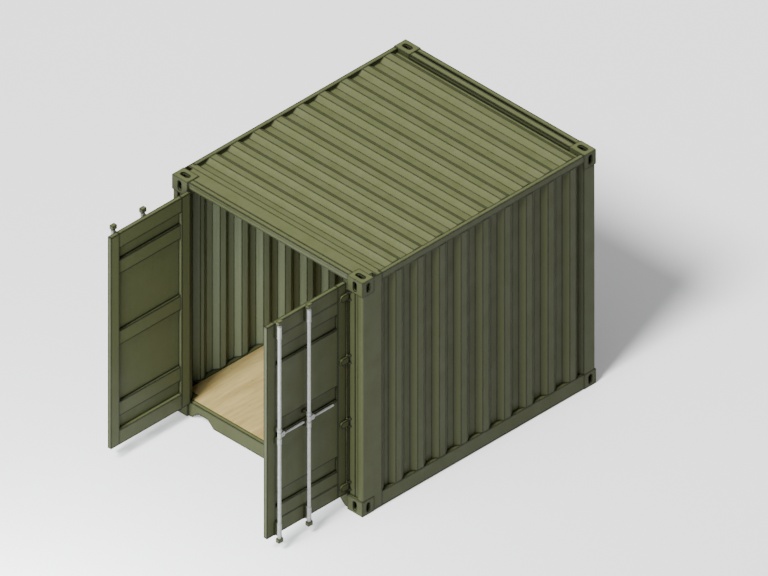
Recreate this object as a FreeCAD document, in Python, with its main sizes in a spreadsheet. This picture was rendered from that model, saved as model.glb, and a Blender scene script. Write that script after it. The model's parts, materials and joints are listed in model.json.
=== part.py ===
"""Ten-foot steel shipping container with two swing doors at one end.

X runs across the box, Y along it with the doors at the -Y end, and Z is up.  The origin
is the centre of the footprint, on the ground that the corner castings stand on.  The
doors are at rest where they stand open, square to the door end.
"""
import FreeCAD, Part
import Sketcher
import math
import os

doc = FreeCAD.newDocument("shipping_container")

# ---------------------------------------------------------------- driving dimensions (mm)
DIMENSIONS = [
    ("width", 2438, "outer width over the corner castings"),
    ("length", 2991, "outer length over the corner castings"),
    ("height", 2591, "outer height over the corner castings"),
    ("proud_side", 4, "castings stand proud of the sides by this"),
    ("proud_end", 6, "castings stand proud of the ends by this"),
    ("rail_lift", 8, "underside of rails and posts above the ground"),
    ("roof_drop", 6, "roof crests below the tops of the castings"),
    ("clearance", 5.5, "free gap beside anything that swings"),
    ("casting_across", 196, "corner casting, size along X"),
    ("casting_along", 151, "corner casting, size along Y"),
    ("casting_height", 160, "corner casting, size along Z"),
    ("casting_radius", 4, "rounding of the casting's edges"),
    ("casting_cap", 28, "thickness of the casting's top or bottom face"),
    ("casting_wall", 22, "thickness of its outer side and end faces"),
    ("casting_back", 12, "thickness of its faces towards the box"),
    ("cap_slot_length", 105, "slot in the top or bottom face, along X"),
    ("cap_slot_width", 47, "width of that slot"),
    ("face_slot_length", 100, "upright slots in the side and end faces"),
    ("face_slot_width", 45, "width of those slots"),
    ("post_plate", 6, "plate of the corner posts"),
    ("post_radius", 20, "outer bend at the corner of a post"),
    ("door_post_side", 250, "door post, size of its side plate along Y"),
    ("door_post_face", 65, "door post, width of its outer face along X"),
    ("seam_step", 3, "door post sits behind the jamb's face by this"),
    ("jamb_width", 79, "jamb channel, width along X"),
    ("jamb_depth", 45, "jamb channel, depth along Y"),
    ("jamb_plate", 8, "plate of the jamb channel"),
    ("hinge_strip", 6, "thickness of the strip along the hinge line"),
    ("hinge_strip_proud", 12, "that strip in front of the hinge pins' axis"),
    ("post_slope", 41, "run of the sloping edges of the blind-end posts"),
    ("top_rail_height", 73, "rails under the roof edge"),
    ("rail_cover", 6, "top side rails reach behind the wall's valleys by this"),
    ("end_cover", 14, "the same for the rails of the blind end"),
    ("rail_wall", 4, "wall of the hollow top rails"),
    ("bottom_rail_top", 166, "top of the bottom rails above the ground"),
    ("bottom_rail_plate", 4.5, "plate of the bottom rails"),
    ("flange_cover", 15, "bottom rails' flanges behind the wall's valleys"),
    ("wall_start", 4, "flat of the side wall beside the door post"),
    ("header_depth", 56, "door header, size along Y"),
    ("header_lip", 27, "height of the strip along the header's top edge"),
    ("header_lip_plate", 2, "thickness of that strip"),
    ("wall_sheet", 2, "corrugated sheet of the walls"),
    ("fold_depth", 40, "depth of the corrugations"),
    ("fold_slope", 62, "run of each sloping side in the walls"),
    ("fold_crest", 78, "outer flat of the wall corrugation"),
    ("fold_valley", 76, "inner flat of the wall corrugation"),
    ("roof_sheet", 2, "corrugated sheet of the roof"),
    ("roof_slope", 61, "run of each sloping side in the roof"),
    ("roof_crest", 77, "upper flat of the roof corrugation"),
    ("roof_valley", 80, "lower flat of the roof corrugation"),
    ("roof_lead", 100, "first valley of the roof, from the header plate"),
    ("landing", 68, "flat strip of the roof before the blind end"),
    ("landing_rise", 5, "run of the step up to that strip"),
    ("landing_lip", 16, "turned-down edge of that strip"),
    ("ledge_depth", 36, "ledge of the end rail under that edge"),
    ("header_plate", 4, "flat roof plate behind the door header"),
    ("header_plate_strip", 64, "raised strip along its rear edge"),
    ("header_plate_end", 268, "rear edge of that plate behind the door posts' faces"),
    ("notch_inset", 65, "drain notch behind a casting, from the side"),
    ("notch_length", 44, "drain notch behind a casting, along Y"),
    ("floor_thickness", 28, "plywood floor"),
    ("floor_drop", 2, "floor below the tops of the bottom rails"),
    ("floor_gap", 2, "gap round the floor"),
    ("sill_plate", 6, "plate of the door sill"),
    ("front_proud", 1, "sill and header in front of the closed doors"),
    ("sill_depth", 46, "top flange of the door sill along Y"),
    ("sill_leg", 34, "height of the leg at its rear edge"),
    ("sill_shelf", 42, "shelf under the floor's edge"),
    ("sill_tab", 45, "full-height end of the sill beside a casting"),
    ("sill_slope", 75, "run of the sloping sides of the cut-outs in the sill"),
    ("sill_cutout", 125, "flat length of those cut-outs"),
    ("sill_cut_height", 71, "height of those cut-outs"),
    ("beam_height", 122, "floor crossmembers"),
    ("beam_flange", 45, "flanges of the crossmembers"),
    ("beam_plate", 4, "plate of the crossmembers"),
    ("beam_pitch", 300, "largest spacing of the crossmembers"),
    ("beam_inset", 100, "first and last crossmember from the rails' ends"),
    ("pin_proud", 12, "hinge pin axis in front of the leaf's outer face"),
    ("pin_side", 13, "hinge pin axis beside the leaf's edge"),
    ("pin_radius", 8, "hinge pin"),
    ("lug_radius", 11, "hinge lugs round the pin"),
    ("lug_thickness", 14, "hinge lugs, along the pin"),
    ("lug_foot_near", 4, "hinge lugs' foot, from the pin towards the opening"),
    ("lug_foot_far", 32, "hinge lugs' foot, from the pin towards the side"),
    ("blade_thickness", 24, "hinge blades"),
    ("blade_length", 97, "hinge blades, from the pin axis"),
    ("blade_height", 67, "hinge blades, along the pin"),
    ("blade_radius", 28, "rounded end of the hinge blades"),
    ("blade_inset", 144, "first hinge blade's centre below the leaf's top"),
    ("blade_lift", 92, "last hinge blade's centre above the leaf's bottom"),
    ("pivot_play", 0.1, "play of a pivot pin in its bore, on the radius"),
    ("side_play", 1, "play beside a blade or handle between its lugs"),
    ("leaf_gap", 8, "gap between the two closed door leaves"),
    ("leaf_thickness", 43, "door leaf"),
    ("leaf_wall", 3, "wall of the leaf's hollow frame"),
    ("stile_width", 108, "upright members of the leaf's frame"),
    ("leaf_top_rail", 163, "top member of the leaf's frame"),
    ("leaf_bottom_rail", 158, "bottom member of the leaf's frame"),
    ("panel_sheet", 2, "pressed door panel"),
    ("panel_setback", 3, "panel behind the face of its frame"),
    ("groove_height", 160, "pressed grooves across the panel"),
    ("groove_depth", 24, "depth of those grooves"),
    ("groove_slope", 3, "run of the grooves' sides"),
    ("groove_margin", 142, "panel beyond the first and last groove"),
    ("bar_radius", 17, "locking bar"),
    ("bar_wall", 3, "wall of the locking bar"),
    ("bar_standoff", 45, "bar axis in front of the leaf's outer face"),
    ("bar_margin", 116, "first bar's axis from the leaf's free edge"),
    ("handle_side_gap", 28, "end of the hinge-side handle clear of the box's side"),
    ("handle_bar_gap", 62, "end of the centre handle from the hinge-side bar"),
    ("handle_drop", 8.5, "handle below the middle of its hub"),
    ("bar_play", 0.5, "play of the bar in its bearings, on the radius"),
    ("sleeve_wall", 5.5, "wall of the bar's bearings"),
    ("bearing_length", 140, "bearings at the leaf's top and bottom"),
    ("bearing_inset", 10, "upper bearings below the leaf's top edge"),
    ("bearing_foot", 60, "foot plates of the bearings, width"),
    ("bearing_plate", 6, "foot plates of the bearings, thickness"),
    ("bearing_web", 28, "blocks that carry the bearings, width"),
    ("upper_guide", 34, "length of the guide above the handle hub"),
    ("lower_guide", 59, "length of the guide below the handle hub"),
    ("guide_gap", 8, "gap between the handle hub and a guide"),
    ("cam_gap_top", 8, "upper cams above the leaf"),
    ("cam_gap_bottom", 19, "lower cams below the leaf"),
    ("bar_end", 3, "bar beyond its cams"),
    ("cam_height", 38, "cams, along the bar"),
    ("cam_length", 60, "cams, along the leaf"),
    ("cam_depth", 46, "cams, across the leaf"),
    ("cam_chamfer", 7, "cut corners of the cams"),
    ("hub_middle", 1288.5, "middle of the handle hub above the ground"),
    ("hub_length", 59, "handle hub, along the bar"),
    ("hub_wall", 4, "wall of the handle hub"),
    ("ear_reach", 59, "ears of the hub, from the bar axis"),
    ("ear_plate", 6, "ears of the hub, thickness"),
    ("ear_height", 53, "ears of the hub, along the bar"),
    ("handle_pin", 42, "handle's pivot, from the bar axis"),
    ("handle_pin_radius", 6, "handle's pivot"),
    ("handle_height", 20, "handle, along the bar"),
    ("handle_thickness", 14, "handle, across the leaf"),
    ("handle_root", 26, "inner end of the handle, from the bar axis"),
    ("handle_stop", 12, "width of the stop under the handle"),
]

dims = doc.addObject("Spreadsheet::Sheet", "dims")
for row, (alias, size, note) in enumerate(DIMENSIONS, 1):
    dims.set(f"A{row}", note)
    dims.set(f"B{row}", str(size))
    dims.setAlias(f"B{row}", alias)
doc.recompute()

HINGE_COUNT = 4
LEAST_FLAT = 20

# --------------------------------------------- planes and lines worked out from the sheet
SIDE = "(dims.width / 2 - dims.proud_side)"
END = "(dims.length / 2 - dims.proud_end)"
INNER = "(dims.width / 2 - dims.casting_across)"
CASTING_END = "(dims.length / 2 - dims.casting_along)"
LOW = "dims.casting_height"
HIGH = "(dims.height - dims.casting_height)"
ROOF = "(dims.height - dims.roof_drop)"
RAIL_UNDER = f"({ROOF} - dims.top_rail_height)"
WALL_VALLEY = f"({SIDE} - dims.fold_depth)"
END_VALLEY = f"({END} - dims.fold_depth)"
RAIL_INNER = f"({WALL_VALLEY} - dims.rail_cover)"
ROOF_VALLEY = f"({ROOF} - dims.fold_depth)"
WALL_FIRST = f"(dims.door_post_side - {END})"
WALL_LAST = f"({CASTING_END} - dims.post_slope)"
WALL_LOW = "dims.bottom_rail_top"
WALL_HEIGHT = f"({RAIL_UNDER} - {WALL_LOW})"
SIDE_LENGTH = f"({CASTING_END} - {WALL_FIRST})"
FLOOR_TOP = "(dims.bottom_rail_top - dims.floor_drop)"
FLOOR_UNDER = f"({FLOOR_TOP} - dims.floor_thickness)"
PIN_X = f"({INNER} - dims.clearance + dims.pin_side)"
PIN_Y = "(dims.pin_proud - dims.length / 2 - dims.clearance)"
JAMB_Y = f"({PIN_Y} + dims.blade_thickness / 2 + dims.clearance)"
FRONT = f"({PIN_Y} + dims.pin_proud - dims.front_proud)"
HEADER_REAR = f"({FRONT} + dims.header_lip_plate + dims.header_depth)"
PLATE_REAR = f"(dims.header_plate_end - {END})"
LEAF_LOW = f"({FLOOR_TOP} + dims.clearance)"
LEAF_HIGH = f"({RAIL_UNDER} - dims.clearance)"
HINGE_FIRST = f"({LEAF_LOW} + dims.blade_lift)"
HINGE_SPACING = f"(({LEAF_HIGH} - dims.blade_inset - {HINGE_FIRST}) / {HINGE_COUNT - 1})"
HINGES = [f"({HINGE_FIRST} + {index} * {HINGE_SPACING})" for index in range(HINGE_COUNT)]
LUG_GAP = "(dims.blade_height / 2 + dims.side_play)"

# A leaf is laid out from its hinge pin: u along the leaf, v out of its outer face.
LEAF_HINGE_EDGE = "dims.pin_side"
LEAF_FREE_EDGE = f"({PIN_X} - dims.leaf_gap / 2)"
LEAF_OUTER = "(-dims.pin_proud)"
LEAF_INNER = f"({LEAF_OUTER} - dims.leaf_thickness)"
PANEL_FIRST = f"({LEAF_HINGE_EDGE} + dims.stile_width)"
PANEL_LAST = f"({LEAF_FREE_EDGE} - dims.stile_width)"
PANEL_LOW = f"({LEAF_LOW} + dims.leaf_bottom_rail)"
PANEL_HIGH = f"({LEAF_HIGH} - dims.leaf_top_rail)"
PANEL_FLAT = f"({LEAF_OUTER} - dims.panel_setback)"
PANEL_DEEP = f"({PANEL_FLAT} - dims.groove_depth)"
GROOVE_STEP = f"(({PANEL_HIGH} - {PANEL_LOW} - 2 * dims.groove_margin - dims.groove_height) / 2)"
GROOVES = [f"({PANEL_LOW} + dims.groove_margin + {index} * {GROOVE_STEP})" for index in range(3)]
BAR_V = f"({LEAF_OUTER} + dims.bar_standoff)"
CENTRE_BAR = f"({LEAF_FREE_EDGE} - dims.bar_margin)"
HANDLE_REACH = f"(({CENTRE_BAR} - dims.width / 2 + {PIN_X} - dims.handle_side_gap" \
               " - dims.handle_bar_gap) / 2)"
HINGE_BAR = f"({CENTRE_BAR} - {HANDLE_REACH} - dims.handle_bar_gap)"
BARS = (("centre", CENTRE_BAR), ("hinge", HINGE_BAR))
HUB_LOW = "(dims.hub_middle - dims.hub_length / 2)"
HUB_HIGH = "(dims.hub_middle + dims.hub_length / 2)"
HANDLE_Z = "(dims.hub_middle - dims.handle_drop)"
TOP_CAM = f"({LEAF_HIGH} + dims.cam_gap_top)"
BOTTOM_CAM = f"({LEAF_LOW} - dims.cam_gap_bottom - dims.cam_height)"

# --------------------------------------------------------------------------------- tools
nodes = []


def number(expression):
    """Value of an expression in the sheet's aliases."""
    result = dims.evalExpression(str(expression))
    return float(getattr(result, "Value", result))


def bind(feature, **sizes):
    """Bind each named property of a feature to an expression."""
    for name, expression in sizes.items():
        feature.setExpression(name, str(expression))
    return feature


def move_to(feature, x, y, z):
    """Bind a feature's position to three expressions."""
    for axis, expression in zip("xyz", (x, y, z)):
        feature.setExpression(f"Placement.Base.{axis}", str(expression))
    return feature


def box(name, x, y, z, dx, dy, dz):
    """Box with its lowest corner at x, y, z."""
    feature = doc.addObject("Part::Box", name)
    bind(feature, Length=dx, Width=dy, Height=dz)
    return move_to(feature, x, y, z)


def cylinder(name, x, y, z, radius, height, axis="Z"):
    """Cylinder that starts at x, y, z and runs along +X, +Y or +Z."""
    turns = {
        "X": FreeCAD.Rotation(FreeCAD.Vector(0, 1, 0), 90),
        "Y": FreeCAD.Rotation(FreeCAD.Vector(1, 0, 0), -90),
        "Z": FreeCAD.Rotation(),
    }
    feature = doc.addObject("Part::Cylinder", name)
    bind(feature, Radius=radius, Height=height)
    feature.Placement = FreeCAD.Placement(FreeCAD.Vector(), turns[axis])
    return move_to(feature, x, y, z)


def fuse(name, *shapes):
    """Several shapes made one."""
    feature = doc.addObject("Part::MultiFuse", name)
    feature.Shapes = list(shapes)
    return feature


def cut(name, base, *tools):
    """A base with the tools cut out of it."""
    tool = tools[0] if len(tools) == 1 else fuse(name + "_tools", *tools)
    feature = doc.addObject("Part::Cut", name)
    feature.Base = base
    feature.Tool = tool
    return feature


def group(name, *shapes):
    """Separate solids kept together as one compound."""
    feature = doc.addObject("Part::Compound", name)
    feature.Links = list(shapes)
    return feature


def mirrored(name, source, normal=(1, 0, 0), height=None):
    """Mirror image of a feature in a plane through the origin, or at a height."""
    feature = doc.addObject("Part::Mirroring", name)
    feature.Source = source
    feature.Normal = FreeCAD.Vector(*normal)
    if height:
        feature.setExpression("Base.z", height)
    return feature


def node(label, feature):
    """Name a finished feature as one sub-part of the container."""
    feature.Label = label
    nodes.append(feature)
    return feature


def pair(label, feature):
    """A right-hand sub-part and its mirror image on the left."""
    node(label + "_right", feature)
    node(label + "_left", mirrored(feature.Name + "_mirror", feature))


def new_body(name):
    """Empty PartDesign body."""
    return doc.addObject("PartDesign::Body", name)


def pad(body, plane, points, start, length):
    """Pad of a closed outline with every corner bound, from start along the plane's axis."""
    sketch = body.newObject("Sketcher::SketchObject", body.Name + "_outline")
    role = plane + "_Plane"
    support = [entry for entry in body.Origin.OriginFeatures if entry.Role == role][0]
    sketch.AttachmentSupport = [(support, "")]
    sketch.MapMode = "FlatFace"
    corners = [FreeCAD.Vector(number(u), number(v), 0) for u, v in points]
    count = len(corners)
    lines = []
    rules = []
    expressions = []
    for index, corner in enumerate(corners):
        following = (index + 1) % count
        lines.append(Part.LineSegment(corner, corners[following]))
        rules.append(Sketcher.Constraint("Coincident", index, 2, following, 1))
    for index, (u, v) in enumerate(points):
        rules.append(Sketcher.Constraint("DistanceX", -1, 1, index, 1, corners[index].x))
        rules.append(Sketcher.Constraint("DistanceY", -1, 1, index, 1, corners[index].y))
        expressions.extend((u, v))
    sketch.addGeometry(lines, False)
    sketch.addConstraint(rules)
    for index, expression in enumerate(expressions, count):
        sketch.setExpression(f"Constraints[{index}]", str(expression))
    # The XZ plane of a body faces -Y, so distances off it count the other way.
    offset = f"-({start} + {length})" if plane == "XZ" else start
    sketch.setExpression("AttachmentOffset.Base.z", str(offset))
    feature = body.newObject("PartDesign::Pad", body.Name + "_pad")
    feature.Profile = sketch
    sketch.Visibility = False
    return bind(feature, Length=length)


def rectangle(u, v, du, dv):
    """Corners of a rectangle from its lowest corner and sizes."""
    return [(u, v), (f"{u} + {du}", v), (f"{u} + {du}", f"{v} + {dv}"), (u, f"{v} + {dv}")]


def fillet(body, radius, chosen, along="xyz"):
    """Round the edges that run along given axes and whose end points pass a test."""
    doc.recompute()
    base = body.Tip
    names = []
    for index, edge in enumerate(base.Shape.Edges, 1):
        ends = [vertex.Point for vertex in edge.Vertexes]
        if len(ends) != 2 or not all(chosen(end) for end in ends):
            continue
        runs = [axis for axis in "xyz" if abs(getattr(ends[1] - ends[0], axis)) > 0.01]
        if all(axis in along for axis in runs):
            names.append(f"Edge{index}")
    feature = body.newObject("PartDesign::Fillet", body.Name + "_fillet")
    feature.Base = (base, names)
    return bind(feature, Radius=radius)


def near(position, **sizes):
    """Whether a point has the given coordinates."""
    return all(abs(getattr(position, axis) - number(size)) < 0.01
               for axis, size in sizes.items())


def folded(stations, sheet, slope):
    """Outline of a folded sheet of even thickness below its outer face.

    Each station is a position, a level and a lean: 1 at both ends of a rising slope, -1 at
    both ends of a falling one, 0 at the ends of the sheet.  The inner face is the outer one
    moved by the sheet's thickness, so its bends move along by
    thickness * (slope length - slope run) / fold depth.
    """
    shift = f"({sheet} * (sqrt({slope} ^ 2 + dims.fold_depth ^ 2) - {slope}) / dims.fold_depth)"
    outer = [(u, v) for u, v, lean in stations]
    inner = [(f"{u} + {lean} * {shift}", f"{v} - {sheet}") for u, v, lean in reversed(stations)]
    return outer + inner


def crests(first, count, slope, crest, valley, low, high):
    """Stations of a row of equal crests, the first slope starting at first."""
    stations = []
    for index in range(count):
        start = f"{first} + {index} * (2 * {slope} + {crest} + {valley})"
        stations.append((start, low, 1))
        stations.append((f"{start} + {slope}", high, 1))
        stations.append((f"{start} + {slope} + {crest}", high, -1))
        stations.append((f"{start} + 2 * {slope} + {crest}", low, -1))
    return stations


def crest_count(span, slope, crest, valley):
    """How many crests fit in a span and leave a flat at its ends."""
    pitch = 2 * number(slope) + number(crest) + number(valley)
    return int((number(span) + number(valley) - LEAST_FLAT) // pitch)


# ---------------------------------------------------------------------- corner castings
def stadium(name, axis, centre, long_axis, long_size, width, depth):
    """Slot with round ends that starts at its centre point and runs along an axis."""
    straight = f"({long_size} - {width})"
    sizes = {"X": width, "Y": width, "Z": width, long_axis: straight, axis: depth}
    corner = {key: f"{centre[key]} - {sizes[key]} / 2" for key in "XYZ"}
    corner[axis] = centre[axis]
    parts = [box(name + "_middle", corner["X"], corner["Y"], corner["Z"],
                 sizes["X"], sizes["Y"], sizes["Z"])]
    for tag, sign in (("low", "-"), ("high", "+")):
        end = dict(centre)
        end[long_axis] = f"{centre[long_axis]} {sign} {straight} / 2"
        parts.append(cylinder(f"{name}_{tag}", end["X"], end["Y"], end["Z"],
                              f"{width} / 2", depth, axis))
    return fuse(name, *parts)


def make_casting():
    """Lower casting at +X and -Y: a hollow block with a slot in each outer face."""
    block = new_body("casting_block")
    plan = rectangle(INNER, "-dims.length / 2", "dims.casting_across", "dims.casting_along")
    pad(block, "XY", plan, 0, "dims.casting_height")
    fillet(block, "dims.casting_radius", lambda end: True)
    hollow = box("casting_hollow", f"{INNER} + dims.casting_back",
                 "dims.casting_wall - dims.length / 2", "dims.casting_cap",
                 "dims.casting_across - dims.casting_back - dims.casting_wall",
                 "dims.casting_along - dims.casting_back - dims.casting_wall",
                 "dims.casting_height - dims.casting_back - dims.casting_cap")
    middle = {
        "X": f"({INNER} + dims.casting_across / 2)",
        "Y": "(dims.casting_along / 2 - dims.length / 2)",
        "Z": "(dims.casting_height / 2)",
    }
    cap = stadium("casting_cap_slot", "Z", {**middle, "Z": "0"}, "X",
                  "dims.cap_slot_length", "dims.cap_slot_width", "dims.casting_cap")
    end = stadium("casting_end_slot", "Y", {**middle, "Y": "(-dims.length / 2)"}, "Z",
                  "dims.face_slot_length", "dims.face_slot_width", "dims.casting_wall")
    side = stadium("casting_side_slot", "X",
                   {**middle, "X": "(dims.width / 2 - dims.casting_wall)"}, "Z",
                   "dims.face_slot_length", "dims.face_slot_width", "dims.casting_wall")
    return cut("casting", block, hollow, cap, end, side)


casting = make_casting()
casting_left = mirrored("casting_left", casting)
rear_castings = [mirrored("rear_" + entry.Name, entry, (0, 1, 0))
                 for entry in (casting, casting_left)]
lower_castings = group("lower_castings", casting, casting_left, *rear_castings)
node("bottom_corner_castings", lower_castings)
node("top_corner_castings",
     mirrored("upper_castings", lower_castings, (0, 0, 1), "dims.height / 2"))

# --------------------------------------------------------------------------------- posts
POST_HEIGHT = f"({HIGH} - {LOW})"
POST_INSIDE = f"({SIDE} - dims.post_plate)"


def make_door_post():
    """Door post: side plate, outer face and a flat set back behind it."""
    body = new_body("door_post")
    face_edge = f"({SIDE} - dims.door_post_face)"
    flat = f"({JAMB_Y} + dims.seam_step)"
    front_inside = f"dims.post_plate - {END}"
    section = [
        (SIDE, WALL_FIRST),
        (SIDE, f"-{END}"),
        (face_edge, f"-{END}"),
        (face_edge, flat),
        (f"{INNER} + dims.jamb_width", flat),
        (f"{INNER} + dims.jamb_width", f"{flat} + dims.post_plate"),
        (f"{face_edge} + dims.post_plate", f"{flat} + dims.post_plate"),
        (f"{face_edge} + dims.post_plate", front_inside),
        (POST_INSIDE, front_inside),
        (POST_INSIDE, WALL_FIRST),
    ]
    pad(body, "XY", section, LOW, POST_HEIGHT)
    fillet(body, "dims.post_radius", lambda end: near(end, x=SIDE, y=f"-{END}"))
    fillet(body, "dims.post_radius - dims.post_plate",
           lambda end: near(end, x=POST_INSIDE, y=front_inside))
    beside = rectangle(f"-{CASTING_END}", "dims.rail_lift",
                       f"({CASTING_END} + {WALL_FIRST})", f"({ROOF} - dims.rail_lift)")
    pad(body, "YZ", beside, POST_INSIDE, "dims.post_plate")
    return body


pair("door_post", make_door_post())


def make_jamb():
    """Jamb: an upright channel, open towards the inside, with a strip along the hinges."""
    body = new_body("jamb_section")
    edge = f"({INNER} + dims.jamb_width)"
    back = f"({JAMB_Y} + dims.jamb_depth)"
    web = f"{JAMB_Y} + dims.jamb_plate"
    front = f"({PIN_Y} - dims.hinge_strip_proud)"
    section = [
        (INNER, front),
        (f"{INNER} + dims.hinge_strip", front),
        (f"{INNER} + dims.hinge_strip", JAMB_Y),
        (edge, JAMB_Y),
        (edge, back),
        (f"{edge} - dims.jamb_plate", back),
        (f"{edge} - dims.jamb_plate", web),
        (f"{INNER} + dims.jamb_plate", web),
        (f"{INNER} + dims.jamb_plate", back),
        (INNER, back),
    ]
    pad(body, "XY", section, LOW, POST_HEIGHT)
    notches = [box(f"hinge_notch_{index}", f"{INNER} - 1", f"{front} - 1",
                   f"{middle} - {LUG_GAP} - dims.lug_thickness",
                   "dims.hinge_strip + 2", f"({JAMB_Y} - {front} + 1)",
                   f"2 * {LUG_GAP} + 2 * dims.lug_thickness")
               for index, middle in enumerate(HINGES, 1)]
    return cut("jamb", body, *notches)


jamb = make_jamb()
node("door_jambs", group("jamb_pair", jamb, mirrored("jamb_left", jamb)))


def make_rear_post():
    """Blind-end post: one bent plate with a sloping edge towards each wall."""
    body = new_body("rear_post")
    rim = f"({INNER} + dims.post_slope)"
    back = f"({END} - dims.post_plate)"
    # Thickness of the plate measured straight across its sloping edges.
    across = "(dims.post_plate * sqrt(dims.fold_depth ^ 2 + dims.post_slope ^ 2)" \
             " / dims.post_slope)"
    bend = f"(dims.post_slope * ({across} - dims.post_plate) / dims.fold_depth)"
    section = [
        (SIDE, CASTING_END),
        (SIDE, END),
        (rim, END),
        (INNER, END_VALLEY),
        (INNER, f"{END_VALLEY} - {across}"),
        (f"{rim} + {bend}", back),
        (POST_INSIDE, back),
        (POST_INSIDE, CASTING_END),
    ]
    pad(body, "XY", section, LOW, POST_HEIGHT)
    fillet(body, "dims.post_radius", lambda end: near(end, x=SIDE, y=END))
    fillet(body, "dims.post_radius - dims.post_plate",
           lambda end: near(end, x=POST_INSIDE, y=back))
    edge = [
        (WALL_VALLEY, WALL_LAST),
        (SIDE, CASTING_END),
        (f"{SIDE} - {across}", CASTING_END),
        (f"{WALL_VALLEY} - {across}", WALL_LAST),
    ]
    pad(body, "XY", edge, WALL_LOW, WALL_HEIGHT)
    return body


pair("rear_post", make_rear_post())


# --------------------------------------------------------------------------- end members
def across_box(body, section, start=f"-{INNER}", length=f"(2 * {INNER})"):
    """Member with a Y-Z section that runs across the box between the castings."""
    pad(body, "YZ", section, start, length)
    return body


def make_door_header():
    """Hollow header with a thin strip along the upper edge of its front."""
    tube = box("header_tube", f"-{INNER}", f"{FRONT} + dims.header_lip_plate", RAIL_UNDER,
               f"2 * {INNER}", "dims.header_depth", "dims.top_rail_height")
    bore = box("header_bore", f"-{INNER}",
               f"{FRONT} + dims.header_lip_plate + dims.rail_wall",
               f"{RAIL_UNDER} + dims.rail_wall", f"2 * {INNER}",
               "dims.header_depth - 2 * dims.rail_wall",
               "dims.top_rail_height - 2 * dims.rail_wall")
    lip = box("header_lip", f"-{INNER}", FRONT, f"{ROOF} - dims.header_lip",
              f"2 * {INNER}", "dims.header_lip_plate", "dims.header_lip")
    return cut("header", fuse("header_solid", tube, lip), bore)


node("door_header", make_door_header())


def make_door_sill():
    """Folded sill with a shelf for the floor's edge and two cut-outs from below."""
    body = new_body("sill_section")
    plate = "dims.sill_plate"
    leg_back = f"({FRONT} + dims.sill_depth)"
    foot = "dims.rail_lift"
    section = [
        (FRONT, foot),
        (f"{leg_back} + 2", foot),
        (f"{leg_back} + 2", f"{foot} + {plate}"),
        (f"{FRONT} + {plate}", f"{foot} + {plate}"),
        (f"{FRONT} + {plate}", f"{FLOOR_TOP} - {plate}"),
        (f"{leg_back} - {plate}", f"{FLOOR_TOP} - {plate}"),
        (f"{leg_back} - {plate}", f"{FLOOR_UNDER} - {plate}"),
        (f"{leg_back} + dims.sill_shelf", f"{FLOOR_UNDER} - {plate}"),
        (f"{leg_back} + dims.sill_shelf", FLOOR_UNDER),
        (leg_back, FLOOR_UNDER),
        (leg_back, FLOOR_TOP),
        (FRONT, FLOOR_TOP),
    ]
    across_box(body, section)
    outer = f"({INNER} - dims.sill_tab)"
    inner = f"({outer} - 2 * dims.sill_slope - dims.sill_cutout)"
    top = f"{foot} + dims.sill_cut_height"
    outline = [
        (outer, "0"),
        (outer, foot),
        (f"{outer} - dims.sill_slope", top),
        (f"{inner} + dims.sill_slope", top),
        (inner, foot),
        (inner, "0"),
    ]
    cutout = new_body("sill_cutout")
    pad(cutout, "XZ", outline, f"({FRONT} - 1)", "(dims.sill_depth + 4)")
    return cut("sill", body, cutout, mirrored("sill_cutout_left", cutout))


node("door_sill", make_door_sill())


def make_rear_top_rail():
    """Hollow rail over the blind end, with a ledge under the roof's turned-down edge."""
    width = "(dims.fold_depth + dims.end_cover)"
    front = f"({END} - {width})"
    tube = box("rear_rail_tube", f"-{INNER}", front, RAIL_UNDER,
               f"2 * {INNER}", width, "dims.top_rail_height")
    bore = box("rear_rail_bore", f"-{INNER}", f"{front} + dims.rail_wall",
               f"{RAIL_UNDER} + dims.rail_wall", f"2 * {INNER}",
               f"{width} - 2 * dims.rail_wall", "dims.top_rail_height - 2 * dims.rail_wall")
    ledge = box("rear_rail_ledge", f"-{INNER}", f"{front} - dims.ledge_depth",
                f"{ROOF} - dims.landing_lip - dims.rail_wall",
                f"2 * {INNER}", "dims.ledge_depth", "dims.rail_wall")
    return cut("rear_rail", fuse("rear_rail_solid", tube, ledge), bore)


node("rear_top_rail", make_rear_top_rail())


def make_rear_bottom_rail():
    """Channel under the blind end's wall, open towards the inside."""
    plate = "dims.bottom_rail_plate"
    foot = "dims.rail_lift"
    top = "dims.bottom_rail_top"
    inside = f"({END_VALLEY} - dims.flange_cover)"
    section = [
        (inside, foot),
        (END, foot),
        (END, top),
        (inside, top),
        (inside, f"{top} - {plate}"),
        (f"{END} - {plate}", f"{top} - {plate}"),
        (f"{END} - {plate}", f"{foot} + {plate}"),
        (inside, f"{foot} + {plate}"),
    ]
    return across_box(new_body("rear_sill"), section)


node("rear_bottom_rail", make_rear_bottom_rail())


# -------------------------------------------------------------------------- side members
def make_top_rail():
    """Hollow rail under the roof's edge, closed at its door end."""
    width = "(dims.fold_depth + dims.rail_cover)"
    tube = box("top_rail_tube", RAIL_INNER, WALL_FIRST, RAIL_UNDER,
               width, SIDE_LENGTH, "dims.top_rail_height")
    bore = box("top_rail_bore", f"{RAIL_INNER} + dims.rail_wall",
               f"{WALL_FIRST} + dims.rail_wall", f"{RAIL_UNDER} + dims.rail_wall",
               f"{width} - 2 * dims.rail_wall", SIDE_LENGTH,
               "dims.top_rail_height - 2 * dims.rail_wall")
    return cut("top_rail", tube, bore)


pair("top_rail", make_top_rail())


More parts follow.
